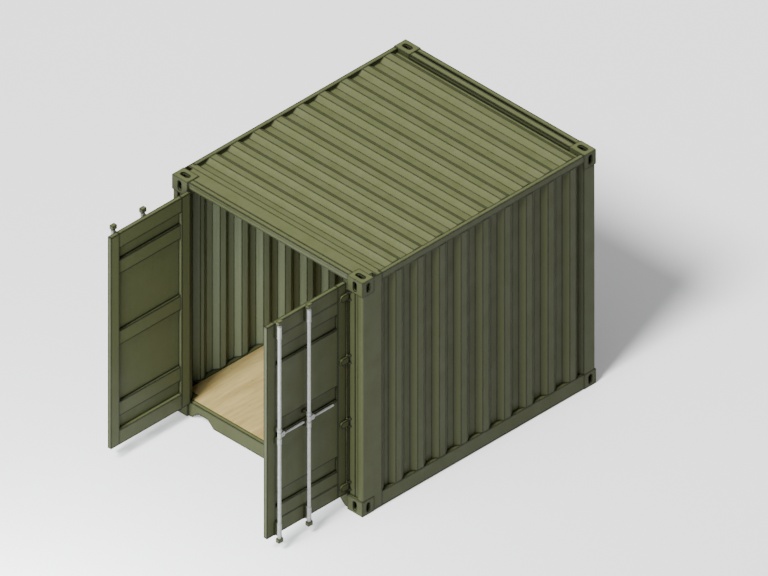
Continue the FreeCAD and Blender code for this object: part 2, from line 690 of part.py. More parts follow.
def make_bottom_rail():
    """Channel along the side, open towards the crossmembers it holds."""
    body = new_body("bottom_rail")
    plate = "dims.bottom_rail_plate"
    foot = "dims.rail_lift"
    top = "dims.bottom_rail_top"
    inside = f"({WALL_VALLEY} - dims.flange_cover)"
    section = [
        (inside, foot),
        (SIDE, foot),
        (SIDE, top),
        (inside, top),
        (inside, f"{top} - {plate}"),
        (f"{SIDE} - {plate}", f"{top} - {plate}"),
        (f"{SIDE} - {plate}", f"{foot} + {plate}"),
        (inside, f"{foot} + {plate}"),
    ]
    pad(body, "XZ", section, WALL_FIRST, SIDE_LENGTH)
    return body


pair("bottom_rail", make_bottom_rail())

# ---------------------------------------------------------------------- corrugated sheets
WALL_FOLD = ("dims.fold_slope", "dims.fold_crest", "dims.fold_valley")
WALL_PITCH = "(2 * dims.fold_slope + dims.fold_crest + dims.fold_valley)"


def make_side_wall():
    """Side wall: starts on the crest plane at the door post, ends in the rear post's valley."""
    first = f"({WALL_FIRST} + dims.wall_start)"
    span = f"({WALL_LAST} - {first} - dims.fold_slope)"
    count = crest_count(span, *WALL_FOLD)
    start = f"({WALL_LAST} + dims.fold_valley - {count} * {WALL_PITCH})"
    stations = [
        (WALL_FIRST, SIDE, 0),
        (first, SIDE, -1),
        (f"{first} + dims.fold_slope", WALL_VALLEY, -1),
    ]
    stations += crests(start, count, *WALL_FOLD, WALL_VALLEY, SIDE)
    # The last slope runs straight into the post, so its sheet ends square there.
    stations[-1] = (stations[-1][0], stations[-1][1], 0)
    outline = [(v, u) for u, v in folded(stations, "dims.wall_sheet", "dims.fold_slope")]
    body = new_body("side_wall")
    pad(body, "XY", outline, WALL_LOW, WALL_HEIGHT)
    return body


pair("side_wall", make_side_wall())


def make_rear_wall():
    """Wall of the blind end, its crests centred."""
    span = f"(2 * {INNER})"
    count = crest_count(f"{span} - 2 * dims.fold_valley", *WALL_FOLD)
    start = f"(dims.fold_valley / 2 - {count} * {WALL_PITCH} / 2)"
    stations = [(f"-{INNER}", END_VALLEY, 0)]
    stations += crests(start, count, *WALL_FOLD, END_VALLEY, END)
    stations.append((INNER, END_VALLEY, 0))
    body = new_body("rear_wall")
    outline = folded(stations, "dims.wall_sheet", "dims.fold_slope")
    pad(body, "XY", outline, WALL_LOW, WALL_HEIGHT)
    return body


node("rear_wall", make_rear_wall())

ROOF_FOLD = ("dims.roof_slope", "dims.roof_crest", "dims.roof_valley")
ROOF_PITCH = "(2 * dims.roof_slope + dims.roof_crest + dims.roof_valley)"


def make_roof():
    """Roof sheet between the side rails, with a raised strip before the blind end."""
    first = f"({PLATE_REAR} + dims.roof_lead)"
    span = f"({CASTING_END} - {first})"
    count = crest_count(span, *ROOF_FOLD)
    stations = [(PLATE_REAR, ROOF_VALLEY, 0)]
    stations += crests(first, count, *ROOF_FOLD, ROOF_VALLEY, ROOF)
    stations.append((CASTING_END, ROOF_VALLEY, 0))
    body = new_body("roof")
    pad(body, "YZ", folded(stations, "dims.roof_sheet", "dims.roof_slope"),
        f"-{RAIL_INNER}", f"(2 * {RAIL_INNER})")
    sheet = "dims.roof_sheet"
    top = f"({CASTING_END} + dims.landing_rise)"
    edge = f"({top} + dims.landing)"
    strip = [
        (CASTING_END, ROOF_VALLEY),
        (top, ROOF),
        (edge, ROOF),
        (edge, f"{ROOF} - dims.landing_lip"),
        (f"{edge} - {sheet}", f"{ROOF} - dims.landing_lip"),
        (f"{edge} - {sheet}", f"{ROOF} - {sheet}"),
        (f"{top} + {sheet}", f"{ROOF} - {sheet}"),
        (f"{CASTING_END} + {sheet}", f"{ROOF_VALLEY} - {sheet}"),
        (CASTING_END, f"{ROOF_VALLEY} - {sheet}"),
    ]
    pad(body, "YZ", strip, f"-{INNER}", f"(2 * {INNER})")
    return body


node("roof_sheet", make_roof())


def both_sides(right_half):
    """Outline that runs up its right half and back down the mirrored left half."""
    return right_half + [(f"-({x})", y) for x, y in reversed(right_half)]


def make_header_plate():
    """Flat roof plate behind the header, its drain notches beside the castings."""
    body = new_body("header_plate")
    strip = "(dims.roof_sheet)"
    under = f"({ROOF} - {strip} - dims.header_plate)"
    notch_x = f"({SIDE} - dims.notch_inset)"
    notch_y = f"(dims.notch_length - {CASTING_END})"
    plan = both_sides([
        (INNER, HEADER_REAR),
        (INNER, f"-{CASTING_END}"),
        (notch_x, f"-{CASTING_END}"),
        (notch_x, notch_y),
        (POST_INSIDE, notch_y),
        (POST_INSIDE, WALL_FIRST),
        (RAIL_INNER, WALL_FIRST),
        (RAIL_INNER, PLATE_REAR),
    ])
    pad(body, "XY", plan, under, "dims.header_plate")
    raised = both_sides([
        (POST_INSIDE, f"{PLATE_REAR} - dims.header_plate_strip"),
        (POST_INSIDE, WALL_FIRST),
        (RAIL_INNER, WALL_FIRST),
        (RAIL_INNER, PLATE_REAR),
    ])
    pad(body, "XY", raised, f"({ROOF} - {strip})", strip)
    low = f"({ROOF_VALLEY} - dims.roof_sheet)"
    flange = rectangle(f"{PLATE_REAR} - dims.header_plate", low,
                       "dims.header_plate", f"({under} - {low})")
    pad(body, "YZ", flange, f"-{RAIL_INNER}", f"(2 * {RAIL_INNER})")
    return body


node("roof_header_plate", make_header_plate())


# --------------------------------------------------------------------------------- floor
def make_floor():
    """Plywood floor, notched round the corner castings."""
    body = new_body("floor")
    side = f"({WALL_VALLEY} - dims.flange_cover - dims.floor_gap)"
    narrow = f"({INNER} - dims.floor_gap)"
    shoulder = f"({CASTING_END} - dims.floor_gap)"
    front = f"({FRONT} + dims.sill_depth + dims.floor_gap)"
    rear = f"({END_VALLEY} - dims.flange_cover - dims.floor_gap)"
    plan = both_sides([
        (narrow, front),
        (narrow, f"-{shoulder}"),
        (side, f"-{shoulder}"),
        (side, shoulder),
        (narrow, shoulder),
        (narrow, rear),
    ])
    pad(body, "XY", plan, FLOOR_UNDER, "dims.floor_thickness")
    return body


node("floor_boards", make_floor())


def make_crossmembers():
    """Channels across the box that carry the floor, evenly spaced between the corners."""
    span = f"({SIDE_LENGTH} - 2 * dims.beam_inset)"
    steps = math.ceil(number(span) / number("dims.beam_pitch"))
    reach = f"({SIDE} - dims.bottom_rail_plate)"
    foot = f"({FLOOR_UNDER} - dims.beam_height)"
    beams = []
    for index in range(steps + 1):
        start = f"({WALL_FIRST} + dims.beam_inset + {index} * {span} / {steps}" \
                " - dims.beam_flange / 2)"
        block = box(f"beam_{index}", f"-{reach}", start, foot,
                    f"2 * {reach}", "dims.beam_flange", "dims.beam_height")
        hollow = box(f"beam_{index}_hollow", f"-{reach}", f"{start} + dims.beam_plate",
                     f"{foot} + dims.beam_plate", f"2 * {reach}",
                     "dims.beam_flange", "dims.beam_height - 2 * dims.beam_plate")
        beams.append(cut(f"beam_{index}_channel", block, hollow))
    return group("beams", *beams)


node("crossmembers", make_crossmembers())

# ------------------------------------------------------------------------------- hinges


def lug(name, z):
    """Plate from the jamb to the hinge pin, rounded about the pin."""
    wedge = doc.addObject("Part::Wedge", name + "_plate")
    bind(wedge, Xmin=f"{PIN_X} - dims.lug_radius", Xmax=f"{PIN_X} + dims.lug_radius",
         X2min=f"{PIN_X} - dims.lug_foot_near", X2max=f"{PIN_X} + dims.lug_foot_far",
         Ymin=PIN_Y, Ymax=JAMB_Y, Zmin=z, Zmax=f"{z} + dims.lug_thickness",
         Z2min=z, Z2max=f"{z} + dims.lug_thickness")
    eye = cylinder(name + "_eye", PIN_X, PIN_Y, z, "dims.lug_radius", "dims.lug_thickness")
    return [wedge, eye]


def make_hinge_lugs():
    """Two lugs on the jamb for each hinge, with the pin fixed in them."""
    lugs = []
    for index, middle in enumerate(HINGES, 1):
        low = f"({middle} - {LUG_GAP} - dims.lug_thickness)"
        pin = cylinder(f"hinge_{index}_pin", PIN_X, PIN_Y, low, "dims.pin_radius",
                       f"2 * {LUG_GAP} + 2 * dims.lug_thickness")
        parts = lug(f"hinge_{index}_low", low) + lug(f"hinge_{index}_high",
                                                     f"({middle} + {LUG_GAP})")
        lugs.append(fuse(f"hinge_{index}", pin, *parts))
    return group("hinge_lugs", *lugs, *(mirrored(entry.Name + "_left", entry) for entry in lugs))


node("hinge_lugs", make_hinge_lugs())


# ----------------------------------------------------------------------------- door leaf
def door_node(label, feature):
    """Stand a leaf's sub-part open at the right-hand hinge and mirror it to the left."""
    turn = FreeCAD.Rotation(FreeCAD.Vector(0, 0, 1), -90)
    feature.Placement = FreeCAD.Placement(FreeCAD.Vector(), turn)
    move_to(feature, PIN_X, PIN_Y, "0")
    node("door_right_" + label, feature)
    node("door_left_" + label, mirrored(feature.Name + "_mirror", feature))


def make_stiles():
    """Two hollow uprights, closed at the top and drained at the bottom."""
    stiles = []
    height = f"({LEAF_HIGH} - {LEAF_LOW})"
    wall = "dims.leaf_wall"
    for name, edge in (("hinge_stile", LEAF_HINGE_EDGE), ("free_stile", PANEL_LAST)):
        tube = box(name + "_tube", edge, LEAF_INNER, LEAF_LOW,
                   "dims.stile_width", "dims.leaf_thickness", height)
        bore = box(name + "_bore", f"{edge} + {wall}", f"{LEAF_INNER} + {wall}",
                   f"{LEAF_LOW} + {wall}", f"dims.stile_width - 2 * {wall}",
                   f"dims.leaf_thickness - 2 * {wall}", f"{height} - 2 * {wall}")
        drain = cylinder(name + "_drain", f"{edge} + dims.stile_width / 2",
                         f"{LEAF_INNER} + dims.leaf_thickness / 2", LEAF_LOW,
                         f"2 * {wall}", f"2 * {wall}")
        stiles.append(cut(name, tube, bore, drain))
    return group("stiles", *stiles)


door_node("stiles", make_stiles())


def make_leaf_rails():
    """Hollow top and bottom members between the stiles."""
    rails = []
    wall = "dims.leaf_wall"
    length = f"({PANEL_LAST} - {PANEL_FIRST})"
    for name, low, height in (("leaf_rail_low", LEAF_LOW, "dims.leaf_bottom_rail"),
                              ("leaf_rail_high", PANEL_HIGH, "dims.leaf_top_rail")):
        tube = box(name + "_tube", PANEL_FIRST, LEAF_INNER, low,
                   length, "dims.leaf_thickness", height)
        bore = box(name + "_bore", PANEL_FIRST, f"{LEAF_INNER} + {wall}", f"{low} + {wall}",
                   length, f"dims.leaf_thickness - 2 * {wall}", f"{height} - 2 * {wall}")
        rails.append(cut(name, tube, bore))
    return group("leaf_rails", *rails)


door_node("rails", make_leaf_rails())


def make_panel():
    """Pressed panel with three grooves across it, all of one sheet thickness."""
    sheet = "dims.panel_sheet"
    slope = "dims.groove_slope"
    shift = f"({sheet} * (sqrt({slope} ^ 2 + dims.groove_depth ^ 2) - {slope})" \
            " / dims.groove_depth)"
    stations = [(PANEL_LOW, PANEL_FLAT, 0)]
    for low in GROOVES:
        high = f"({low} + dims.groove_height)"
        stations.append((low, PANEL_FLAT, -1))
        stations.append((f"{low} + {slope}", PANEL_DEEP, -1))
        stations.append((f"{high} - {slope}", PANEL_DEEP, 1))
        stations.append((high, PANEL_FLAT, 1))
    stations.append((PANEL_HIGH, PANEL_FLAT, 0))
    outer = [(v, z) for z, v, lean in stations]
    inner = [(f"{v} - {sheet}", f"{z} + {lean} * {shift}") for z, v, lean in reversed(stations)]
    body = new_body("panel")
    pad(body, "YZ", outer + inner, PANEL_FIRST, f"({PANEL_LAST} - {PANEL_FIRST})")
    return body


door_node("panel", make_panel())


def make_blade(index, middle):
    """Hinge blade: flat plate with a rounded end, and an eye about the pin."""
    body = new_body(f"blade_{index}_plate")
    low = f"({middle} - dims.blade_height / 2)"
    outline = rectangle("0", low, "dims.blade_length", "dims.blade_height")
    pad(body, "XZ", outline, "(-dims.blade_thickness / 2)", "dims.blade_thickness")
    fillet(body, "dims.blade_radius", lambda end: near(end, x="dims.blade_length"), "y")
    eye = cylinder(f"blade_{index}_eye", 0, 0, low, "dims.blade_thickness / 2",
                   "dims.blade_height")
    bore = cylinder(f"blade_{index}_bore", 0, 0, low,
                    "dims.pin_radius + dims.pivot_play", "dims.blade_height")
    return cut(f"blade_{index}", fuse(f"blade_{index}_solid", body, eye), bore)


def make_blades():
    """The leaf's hinge blades."""
    return group("blades", *(make_blade(index, middle) for index, middle in enumerate(HINGES, 1)))


door_node("hinge_blades", make_blades())


# ------------------------------------------------------------------------- locking bars
def seat(u, low, length):
    """Level of the leaf's outer face behind a bearing: frame, panel or groove."""
    over_stile = number(u) + number("dims.bearing_foot / 2") > number(PANEL_LAST)
    over_rail = number(low) < number(PANEL_LOW) or number(low) > number(PANEL_HIGH)
    if over_stile or over_rail:
        return LEAF_OUTER
    middle = number(low) + number(length) / 2
    in_groove = any(0 < middle - number(groove) < number("dims.groove_height")
                    for groove in GROOVES)
    return PANEL_DEEP if in_groove else PANEL_FLAT


def bearing(name, u, low, length):
    """Foot plate on the leaf, a block on it and a ring round the bar."""
    level = seat(u, low, length)
    half_foot = "dims.bearing_foot / 2"
    radius = "(dims.bar_radius + dims.bar_play + dims.sleeve_wall)"
    foot = box(name + "_foot", f"{u} - {half_foot}", level, low,
               "dims.bearing_foot", "dims.bearing_plate", length)
    web = box(name + "_web", f"{u} - dims.bearing_web / 2", level, low,
              "dims.bearing_web", f"({BAR_V} - {level})", length)
    ring = cylinder(name + "_ring", u, BAR_V, low, radius, length)
    bore = cylinder(name + "_bore", u, BAR_V, low, "dims.bar_radius + dims.bar_play", length)
    return cut(name, fuse(name + "_solid", foot, web, ring), bore)


def make_bearings():
    """Bearings and handle guides of both bars of a leaf."""
    places = (
        ("top", f"({LEAF_HIGH} - dims.bearing_inset - dims.bearing_length)",
         "dims.bearing_length"),
        ("upper", f"({HUB_HIGH} + dims.guide_gap)", "dims.upper_guide"),
        ("lower", f"({HUB_LOW} - dims.guide_gap - dims.lower_guide)", "dims.lower_guide"),
        ("bottom", LEAF_LOW, "dims.bearing_length"),
    )
    return group("bearings", *(bearing(f"{bar}_{place}_bearing", u, low, length)
                               for bar, u in BARS for place, low, length in places))


door_node("bar_bearings", make_bearings())


def make_bar(bar, u):
    """Locking bar: a tube through both cams, closed at its upper end."""
    low = f"({BOTTOM_CAM} - dims.bar_end)"
    height = f"({TOP_CAM} + dims.cam_height + dims.bar_end - {low})"
    tube = cylinder(f"{bar}_tube", u, BAR_V, low, "dims.bar_radius", height)
    bore = cylinder(f"{bar}_tube_bore", u, BAR_V, low, "dims.bar_radius - dims.bar_wall",
                    f"{height} - dims.bar_wall")
    return cut(f"{bar}_bar", tube, bore)


def cam(name, u, z):
    """Cam block with its four upright corners cut off."""
    body = new_body(name + "_block")
    half_u = "dims.cam_length / 2"
    half_v = "dims.cam_depth / 2"
    nick = "dims.cam_chamfer"
    outline = []
    for su, sv, first_u in (("+", "-", True), ("+", "+", False),
                            ("-", "+", True), ("-", "-", False)):
        back = {"+": "-", "-": "+"}
        near_u = (f"{u} {su} {half_u} {back[su]} {nick}", f"{BAR_V} {sv} {half_v}")
        near_v = (f"{u} {su} {half_u}", f"{BAR_V} {sv} {half_v} {back[sv]} {nick}")
        outline.extend((near_u, near_v) if first_u else (near_v, near_u))
    pad(body, "XY", outline, z, "dims.cam_height")
    bore = cylinder(name + "_bore", u, BAR_V, z, "dims.bar_radius", "dims.cam_height")
    return cut(name, body, bore)


def make_hub(bar, u):
    """Handle hub: sleeve on the bar, two ears, the handle's pin and a stop below it."""
    half_gap = "(dims.handle_thickness / 2 + dims.side_play)"
    sleeve = cylinder(f"{bar}_sleeve", u, BAR_V, HUB_LOW,
                      "dims.bar_radius + dims.hub_wall", "dims.hub_length")
    ear_low = "(dims.hub_middle - dims.ear_height / 2)"
    tip = f"({u} - dims.ear_reach)"
    ears = [box(f"{bar}_ear_{side}", tip, f"{BAR_V} {edge}", ear_low,
                "dims.ear_reach", "dims.ear_plate", "dims.ear_height")
            for side, edge in (("front", f"+ {half_gap}"),
                               ("back", f"- {half_gap} - dims.ear_plate"))]
    pin = cylinder(f"{bar}_handle_pin", f"{u} - dims.handle_pin",
                   f"{BAR_V} - {half_gap} - dims.ear_plate", HANDLE_Z,
                   "dims.handle_pin_radius", f"2 * ({half_gap} + dims.ear_plate)", "Y")
    stop = box(f"{bar}_stop", tip, f"{BAR_V} - {half_gap}", ear_low, "dims.handle_stop",
               f"2 * {half_gap}",
               f"{HANDLE_Z} - dims.handle_height / 2 - dims.side_play / 2 - {ear_low}")
    bore = cylinder(f"{bar}_hub_bore", u, BAR_V, HUB_LOW, "dims.bar_radius",
                    "dims.hub_length")
    return cut(f"{bar}_hub", fuse(f"{bar}_hub_solid", sleeve, *ears, pin, stop), bore)


def make_handle(bar, u):
    """Handle: a flat bar with a rounded end, bored for its pin."""
    body = new_body(f"{bar}_grip")
    low = f"({HANDLE_Z} - dims.handle_height / 2)"
    tip = f"({u} - {HANDLE_REACH})"
    outline = rectangle(tip, low, f"({HANDLE_REACH} - dims.handle_root)",
                        "dims.handle_height")
    front = f"({BAR_V} - dims.handle_thickness / 2)"
    pad(body, "XZ", outline, front, "dims.handle_thickness")
    fillet(body, "dims.handle_height * 0.45", lambda end: near(end, x=tip), "y")
    bore = cylinder(f"{bar}_handle_bore", f"{u} - dims.handle_pin", front, HANDLE_Z,
                    "dims.handle_pin_radius + dims.pivot_play", "dims.handle_thickness", "Y")
    return cut(f"{bar}_handle", body, bore)


for bar, u in BARS:
    door_node(f"{bar}_lock_bar", make_bar(bar, u))
    fittings = (cam(f"{bar}_cam_low", u, BOTTOM_CAM), make_hub(bar, u),
                cam(f"{bar}_cam_high", u, TOP_CAM))
    door_node(f"{bar}_bar_fittings", group(f"{bar}_fittings", *fittings))
    door_node(f"{bar}_handle", make_handle(bar, u))

# ------------------------------------------------------------------------ check and write
doc.recompute()
problems = []
for entry in doc.Objects:
    if "Invalid" in entry.State or "Error" in entry.State:
        problems.append(f"{entry.Name}: {entry.State}")
    shape = getattr(entry, "Shape", None)
    if shape is not None and (shape.isNull() or not shape.isValid()):
        if not entry.isDerivedFrom("App::OriginFeature"):
            problems.append(f"{entry.Name}: bad shape")
if problems:
    raise SystemExit("\n".join(problems))

os.makedirs("parts", exist_ok=True)
for entry in nodes:
    entry.Shape.exportStep(os.path.join("parts", entry.Label + ".step"))
    extent = entry.Shape.BoundBox
    print(f"{entry.Label:32s} {len(entry.Shape.Solids):3d} solids "
          f"x {extent.XMin:8.1f} {extent.XMax:8.1f}  y {extent.YMin:8.1f} {extent.YMax:8.1f}"
          f"  z {extent.ZMin:7.1f} {extent.ZMax:7.1f}")
print(len(nodes), "sub-parts written")
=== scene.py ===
# %% [markdown]
# # A ten-foot freight container with its doors open
# The steel box, its doors and their locking bars come from an engineering model, in
# metres, with the doors at -Y and the ground at Z = 0.  This notebook gives every part a
# finish and adds what a welder, a fitter and a carpenter leave on the real thing: weld
# beads, rivets, pins, seams and screws.

# %% Load the engineering model
import json
import math

import bmesh
import bpy
import numpy as np
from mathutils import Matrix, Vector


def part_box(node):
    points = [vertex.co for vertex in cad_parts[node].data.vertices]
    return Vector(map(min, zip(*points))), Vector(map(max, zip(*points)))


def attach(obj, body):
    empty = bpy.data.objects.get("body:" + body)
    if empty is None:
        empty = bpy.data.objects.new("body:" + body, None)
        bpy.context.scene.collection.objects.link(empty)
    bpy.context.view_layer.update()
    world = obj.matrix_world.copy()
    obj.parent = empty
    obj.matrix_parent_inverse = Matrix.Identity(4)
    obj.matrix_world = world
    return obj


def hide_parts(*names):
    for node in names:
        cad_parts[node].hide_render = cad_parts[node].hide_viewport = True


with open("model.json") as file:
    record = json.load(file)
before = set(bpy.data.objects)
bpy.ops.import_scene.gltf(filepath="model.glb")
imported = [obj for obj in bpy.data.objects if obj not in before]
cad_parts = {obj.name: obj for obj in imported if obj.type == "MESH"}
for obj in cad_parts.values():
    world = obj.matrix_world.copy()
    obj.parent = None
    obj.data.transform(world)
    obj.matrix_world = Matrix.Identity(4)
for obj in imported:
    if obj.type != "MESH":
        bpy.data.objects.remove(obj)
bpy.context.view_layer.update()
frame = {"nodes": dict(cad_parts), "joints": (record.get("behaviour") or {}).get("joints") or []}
nodes = frame["nodes"]
joint_places = {joint["name"]: joint["pos_m"] for joint in frame["joints"]}

# %% [markdown]
# ## Camera
# A drawing of a container is nearly always isometric: parallel rays, turned 45 degrees
# and tipped by atan(1 / sqrt 2), so that all three edges shorten alike.  A parallel
# ("orthographic") camera does the same, and only its scale matters, not its distance.

# %% Camera
VIEW_WIDTH = 6.946
AIM = np.array([0.0, 0.0, 1.1885])
DISTANCE = 20
FARTHEST = 100
TIP = math.atan(1 / math.sqrt(2))
TURN = math.radians(45)


def add_camera():
    """Camera on the line from AIM towards (sin turn cos tip, -cos turn cos tip, sin tip)."""
    data = bpy.data.cameras.new("camera")
    data.type = "ORTHO"
    data.ortho_scale = VIEW_WIDTH
    data.clip_end = FARTHEST
    camera = bpy.data.objects.new("camera", data)
    away = np.array([math.sin(TURN) * math.cos(TIP), -math.cos(TURN) * math.cos(TIP),
                     math.sin(TIP)])
    camera.location = AIM + DISTANCE * away
    camera.rotation_euler = (math.pi / 2 - TIP, 0, TURN)
    bpy.context.collection.objects.link(camera)
    bpy.context.scene.camera = camera
    return camera


camera = add_camera()
print("camera at", [round(value, 2) for value in camera.location])

# %% [markdown]
# ## Light
# Painted steel shows its folds through shading, so each of the three directions gets its
# own brightness.  A soft sun high over the door end does that: the roof comes out
# lightest, the end a step darker and the long side darkest.  It stands a little to the
# +X side, so that an open leaf doesn't shade the post beside it.  A pale sky fills the
# shadows, and one wide lamp in front of the doorway looks into the box.

# %% Light
SKY_COLOUR = (0.98, 0.985, 1.0, 1)
SKY_STRENGTH = 0.6
SUN_STRENGTH = 8.5
SUN_TURN = 8
SUN_HEIGHT = 50
SUN_SOFTNESS = 16
LAMP_PLACE = (0.7, -6.2, 2.0)
LAMP_TARGET = (-0.3, 0, 1.2)
LAMP_SIZE = 3.0
LAMP_POWER = 780
LAMP_COLOUR = (0.93, 0.97, 1.0)


def add_area(name, place, target, size, power, colour):
    """Square lamp at place whose face is turned towards target."""
    data = bpy.data.lights.new(name, "AREA")
    data.size = size
    data.energy = power
    data.color = colour
    lamp = bpy.data.objects.new(name, data)
    lamp.location = place
    away = np.array(place) - np.array(target)
    flat = math.hypot(away[0], away[1])
    lamp.rotation_euler = (math.atan2(flat, away[2]), 0, math.atan2(away[0], -away[1]))
    bpy.context.collection.objects.link(lamp)
    return lamp


def add_sky(strength):
    """Even pale light from all round."""
    world = bpy.data.worlds.new("sky")
    world.use_nodes = True
    background = world.node_tree.nodes["Background"]
    background.inputs["Color"].default_value = SKY_COLOUR
    background.inputs["Strength"].default_value = strength
    bpy.context.scene.world = world
    return world


def add_sun(name, turn, height, strength, softness):
    """Distant lamp towards (cos height sin turn, -cos height cos turn, sin height)."""
    data = bpy.data.lights.new(name, "SUN")
    data.energy = strength
    data.angle = math.radians(softness)
    lamp = bpy.data.objects.new(name, data)
    lamp.rotation_euler = (math.radians(90 - height), 0, math.radians(turn))
    bpy.context.collection.objects.link(lamp)
    return lamp


add_sky(SKY_STRENGTH)
add_sun("door_side_sun", SUN_TURN, SUN_HEIGHT, SUN_STRENGTH, SUN_SOFTNESS)
add_area("doorway_lamp", LAMP_PLACE, LAMP_TARGET, LAMP_SIZE, LAMP_POWER, LAMP_COLOUR)
print("sky, sun and doorway lamp")

# %% [markdown]
# ## Meshes from arrays
# Every new piece below is a surface on a grid: a section is carried along a path, and
# all its points come out of one array expression.  The faces join each grid point to its
# next neighbours, and a closed piece gets a face over each end.

# %% Grid surfaces
def grid_faces(rows, columns):
    """Quads of a grid whose columns close into a ring: (i, j) to (i + 1, j + 1)."""
    row = np.arange(rows - 1)[:, None]
    column = np.arange(columns)[None, :]
    beside = (column + 1) % columns
    corners = [row * columns + column, row * columns + beside,
               (row + 1) * columns + beside, (row + 1) * columns + column]
    return np.stack(corners, axis=-1).reshape(-1, 4)


def new_piece(name, points, faces, body, finish, smooth=False, bevel=0.0):
    """Object with its place in its mesh, faces turned outwards, riding on a body."""
    mesh = bpy.data.meshes.new(name)
    mesh.from_pydata(points.tolist(), [], faces)
    work = bmesh.new()
    work.from_mesh(mesh)
    bmesh.ops.recalc_face_normals(work, faces=work.faces)
    work.to_mesh(mesh)
    work.free()
    if smooth:
        mesh.polygons.foreach_set("use_smooth", np.ones(len(mesh.polygons), dtype=bool))
    mesh.materials.append(finish)
    piece = bpy.data.objects.new(name, mesh)
    bpy.context.collection.objects.link(piece)
    if bevel:
        edge = piece.modifiers.new("bevel", "BEVEL")
        edge.width = bevel
        edge.segments = 2
        edge.limit_method = "ANGLE"
    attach(piece, body)
    return piece


# %% Sections along paths
def tube_points(paths, section, normal):
    """Section carried along one planar path or several of equal length.

    point = path + a * side + b * normal, for the section's pairs (a, b), which may differ
    from row to row; side is normal x tangent, and the tangent is the path's central
    difference.
    """
    tangent = np.gradient(paths, axis=-2)
    tangent /= np.linalg.norm(tangent, axis=-1, keepdims=True)
    side = np.cross(np.broadcast_to(normal, tangent.shape), tangent)
    return (paths[..., :, None, :] + section[..., 0, None] * side[..., :, None, :]
            + section[..., 1, None] * np.asarray(normal))


def circle_section(radius, count):
    """count points (r cos t, r sin t)."""
    turn = 2 * np.pi * np.arange(count) / count
    return radius * np.stack([np.cos(turn), np.sin(turn)], axis=-1)


def ringed(name, points, body, finish, smooth=False, bevel=0.0):
    """One object from stacks of rings, an array (stacks, rings, corners, 3), ends closed."""
    stacks, rows, columns, _ = points.shape
    offsets = np.arange(stacks)[:, None, None] * rows * columns
    faces = (grid_faces(rows, columns)[None] + offsets).reshape(-1, 4).tolist()
    ring = np.arange(columns)[None] + offsets[:, 0]
    faces += ring.tolist() + (ring + (rows - 1) * columns).tolist()
    piece = new_piece(name, points.reshape(-1, 3), faces, body, finish, smooth, bevel)
    print(f"{name}: {stacks} solids, {len(faces)} faces")
    return piece


def swept(name, paths, section, normal, body, finish, smooth=False, bevel=0.0):
    """One object from a section swept along each path."""
    points = tube_points(np.asarray(paths, dtype=float), section, normal)
    points = points.reshape(-1, *points.shape[-3:])
    return ringed(name, points, body, finish, smooth, bevel)


# %% [markdown]
# A weld bead is a thin tube laid in a corner.  Its ripple comes from the welder's even
# steps, so its radius swells and shrinks along the path.  A rivet's or screw's head is a
# low dome: a quarter of an ellipse turned about the rivet.  A curve object with a bevel
# would draw a bead too, but not its ripple.

# %% Beads and domes
RIPPLE_PITCH = 0.014
RIPPLE_DEPTH = 0.16
BEAD_STEP = 0.005
BEAD_SIDES = 6
DOME_END = 0.48 * np.pi


def resampled(points, step=BEAD_STEP):
    """Points every step along a broken line, by straight interpolation of its length."""
    points = np.asarray(points, dtype=float)
    lengths = np.linalg.norm(np.diff(points, axis=0), axis=-1)
    reached = np.concatenate([[0.0], np.cumsum(lengths)])
    stops = np.linspace(0, reached[-1], max(int(reached[-1] / step), 2) + 1)
    return np.stack([np.interp(stops, reached, axis) for axis in points.T], axis=-1)


def bead(name, line, radius, normal, body, finish, mirror=False):
    """Tube of radius r (1 + depth cos(2 pi s / pitch)) along a broken line, s its length."""
    path = resampled(line)
    along = BEAD_STEP * np.arange(len(path))
    swell = 1 + RIPPLE_DEPTH * np.cos(2 * np.pi * along / RIPPLE_PITCH)
    section = swell[:, None, None] * circle_section(radius, BEAD_SIDES)[None]
    paths = np.stack([path, path * (-1, 1, 1)]) if mirror else path[None]
    return swept(name, paths, section, normal, body, finish, smooth=True)


def dome_points(centre, axis, radius, height, rings=4, sides=12):
    """centre + r cos(a) (u cos t + v sin t) + h sin(a) axis, for a from 0 to DOME_END,
    which stops a little short of the pole, where a small flat face closes the dome."""
    axis = np.asarray(axis, dtype=float)
    across = np.cross(axis, np.roll(axis, 1))
    beside = np.cross(axis, across)
    rise = np.linspace(0, DOME_END, rings)[:, None, None]
    turn = np.linspace(0, 2 * np.pi, sides, endpoint=False)[None, :, None]
    return (np.asarray(centre) + radius * np.cos(rise)
            * (across * np.cos(turn) + beside * np.sin(turn)) + height * np.sin(rise) * axis)


def domes(name, centres, axis, radius, height, body, finish):
    """One object of equal domes."""
    points = np.stack([dome_points(centre, axis, radius, height) for centre in centres])
    return ringed(name, points, body, finish, smooth=True)


# %% [markdown]
# ## Finishes
# Each finish is a small network read in object coordinates, which are metres here, so a
# noise of scale 40 has bumps 25 mm apart.  A helper keeps the networks short: it makes a
# node, sets its options and joins its inputs.

# %% Node helpers
COLOUR_SOCKETS = (6, 7)
COLOUR_RESULT = 2
NOISE_SPAN = (0.3, 0.7)


def add_node(tree, kind, inputs=None, **options):
    """Shader node with options set and inputs given as values or other nodes' sockets."""
    made = tree.nodes.new(kind)
    for key, option in options.items():
        setattr(made, key, option)
    for key, given in (inputs or {}).items():
        if isinstance(given, bpy.types.NodeSocket):
            tree.links.new(given, made.inputs[key])
        else:
            made.inputs[key].default_value = given
    return made


def new_material(name):
    """Material with its tree, its shader and its object coordinates."""
    material = bpy.data.materials.new(name)
    material.use_nodes = True
    tree = material.node_tree
    shader = tree.nodes["Principled BSDF"]
    place = tree.nodes.new("ShaderNodeTexCoord").outputs["Object"]
    return material, tree, shader, place


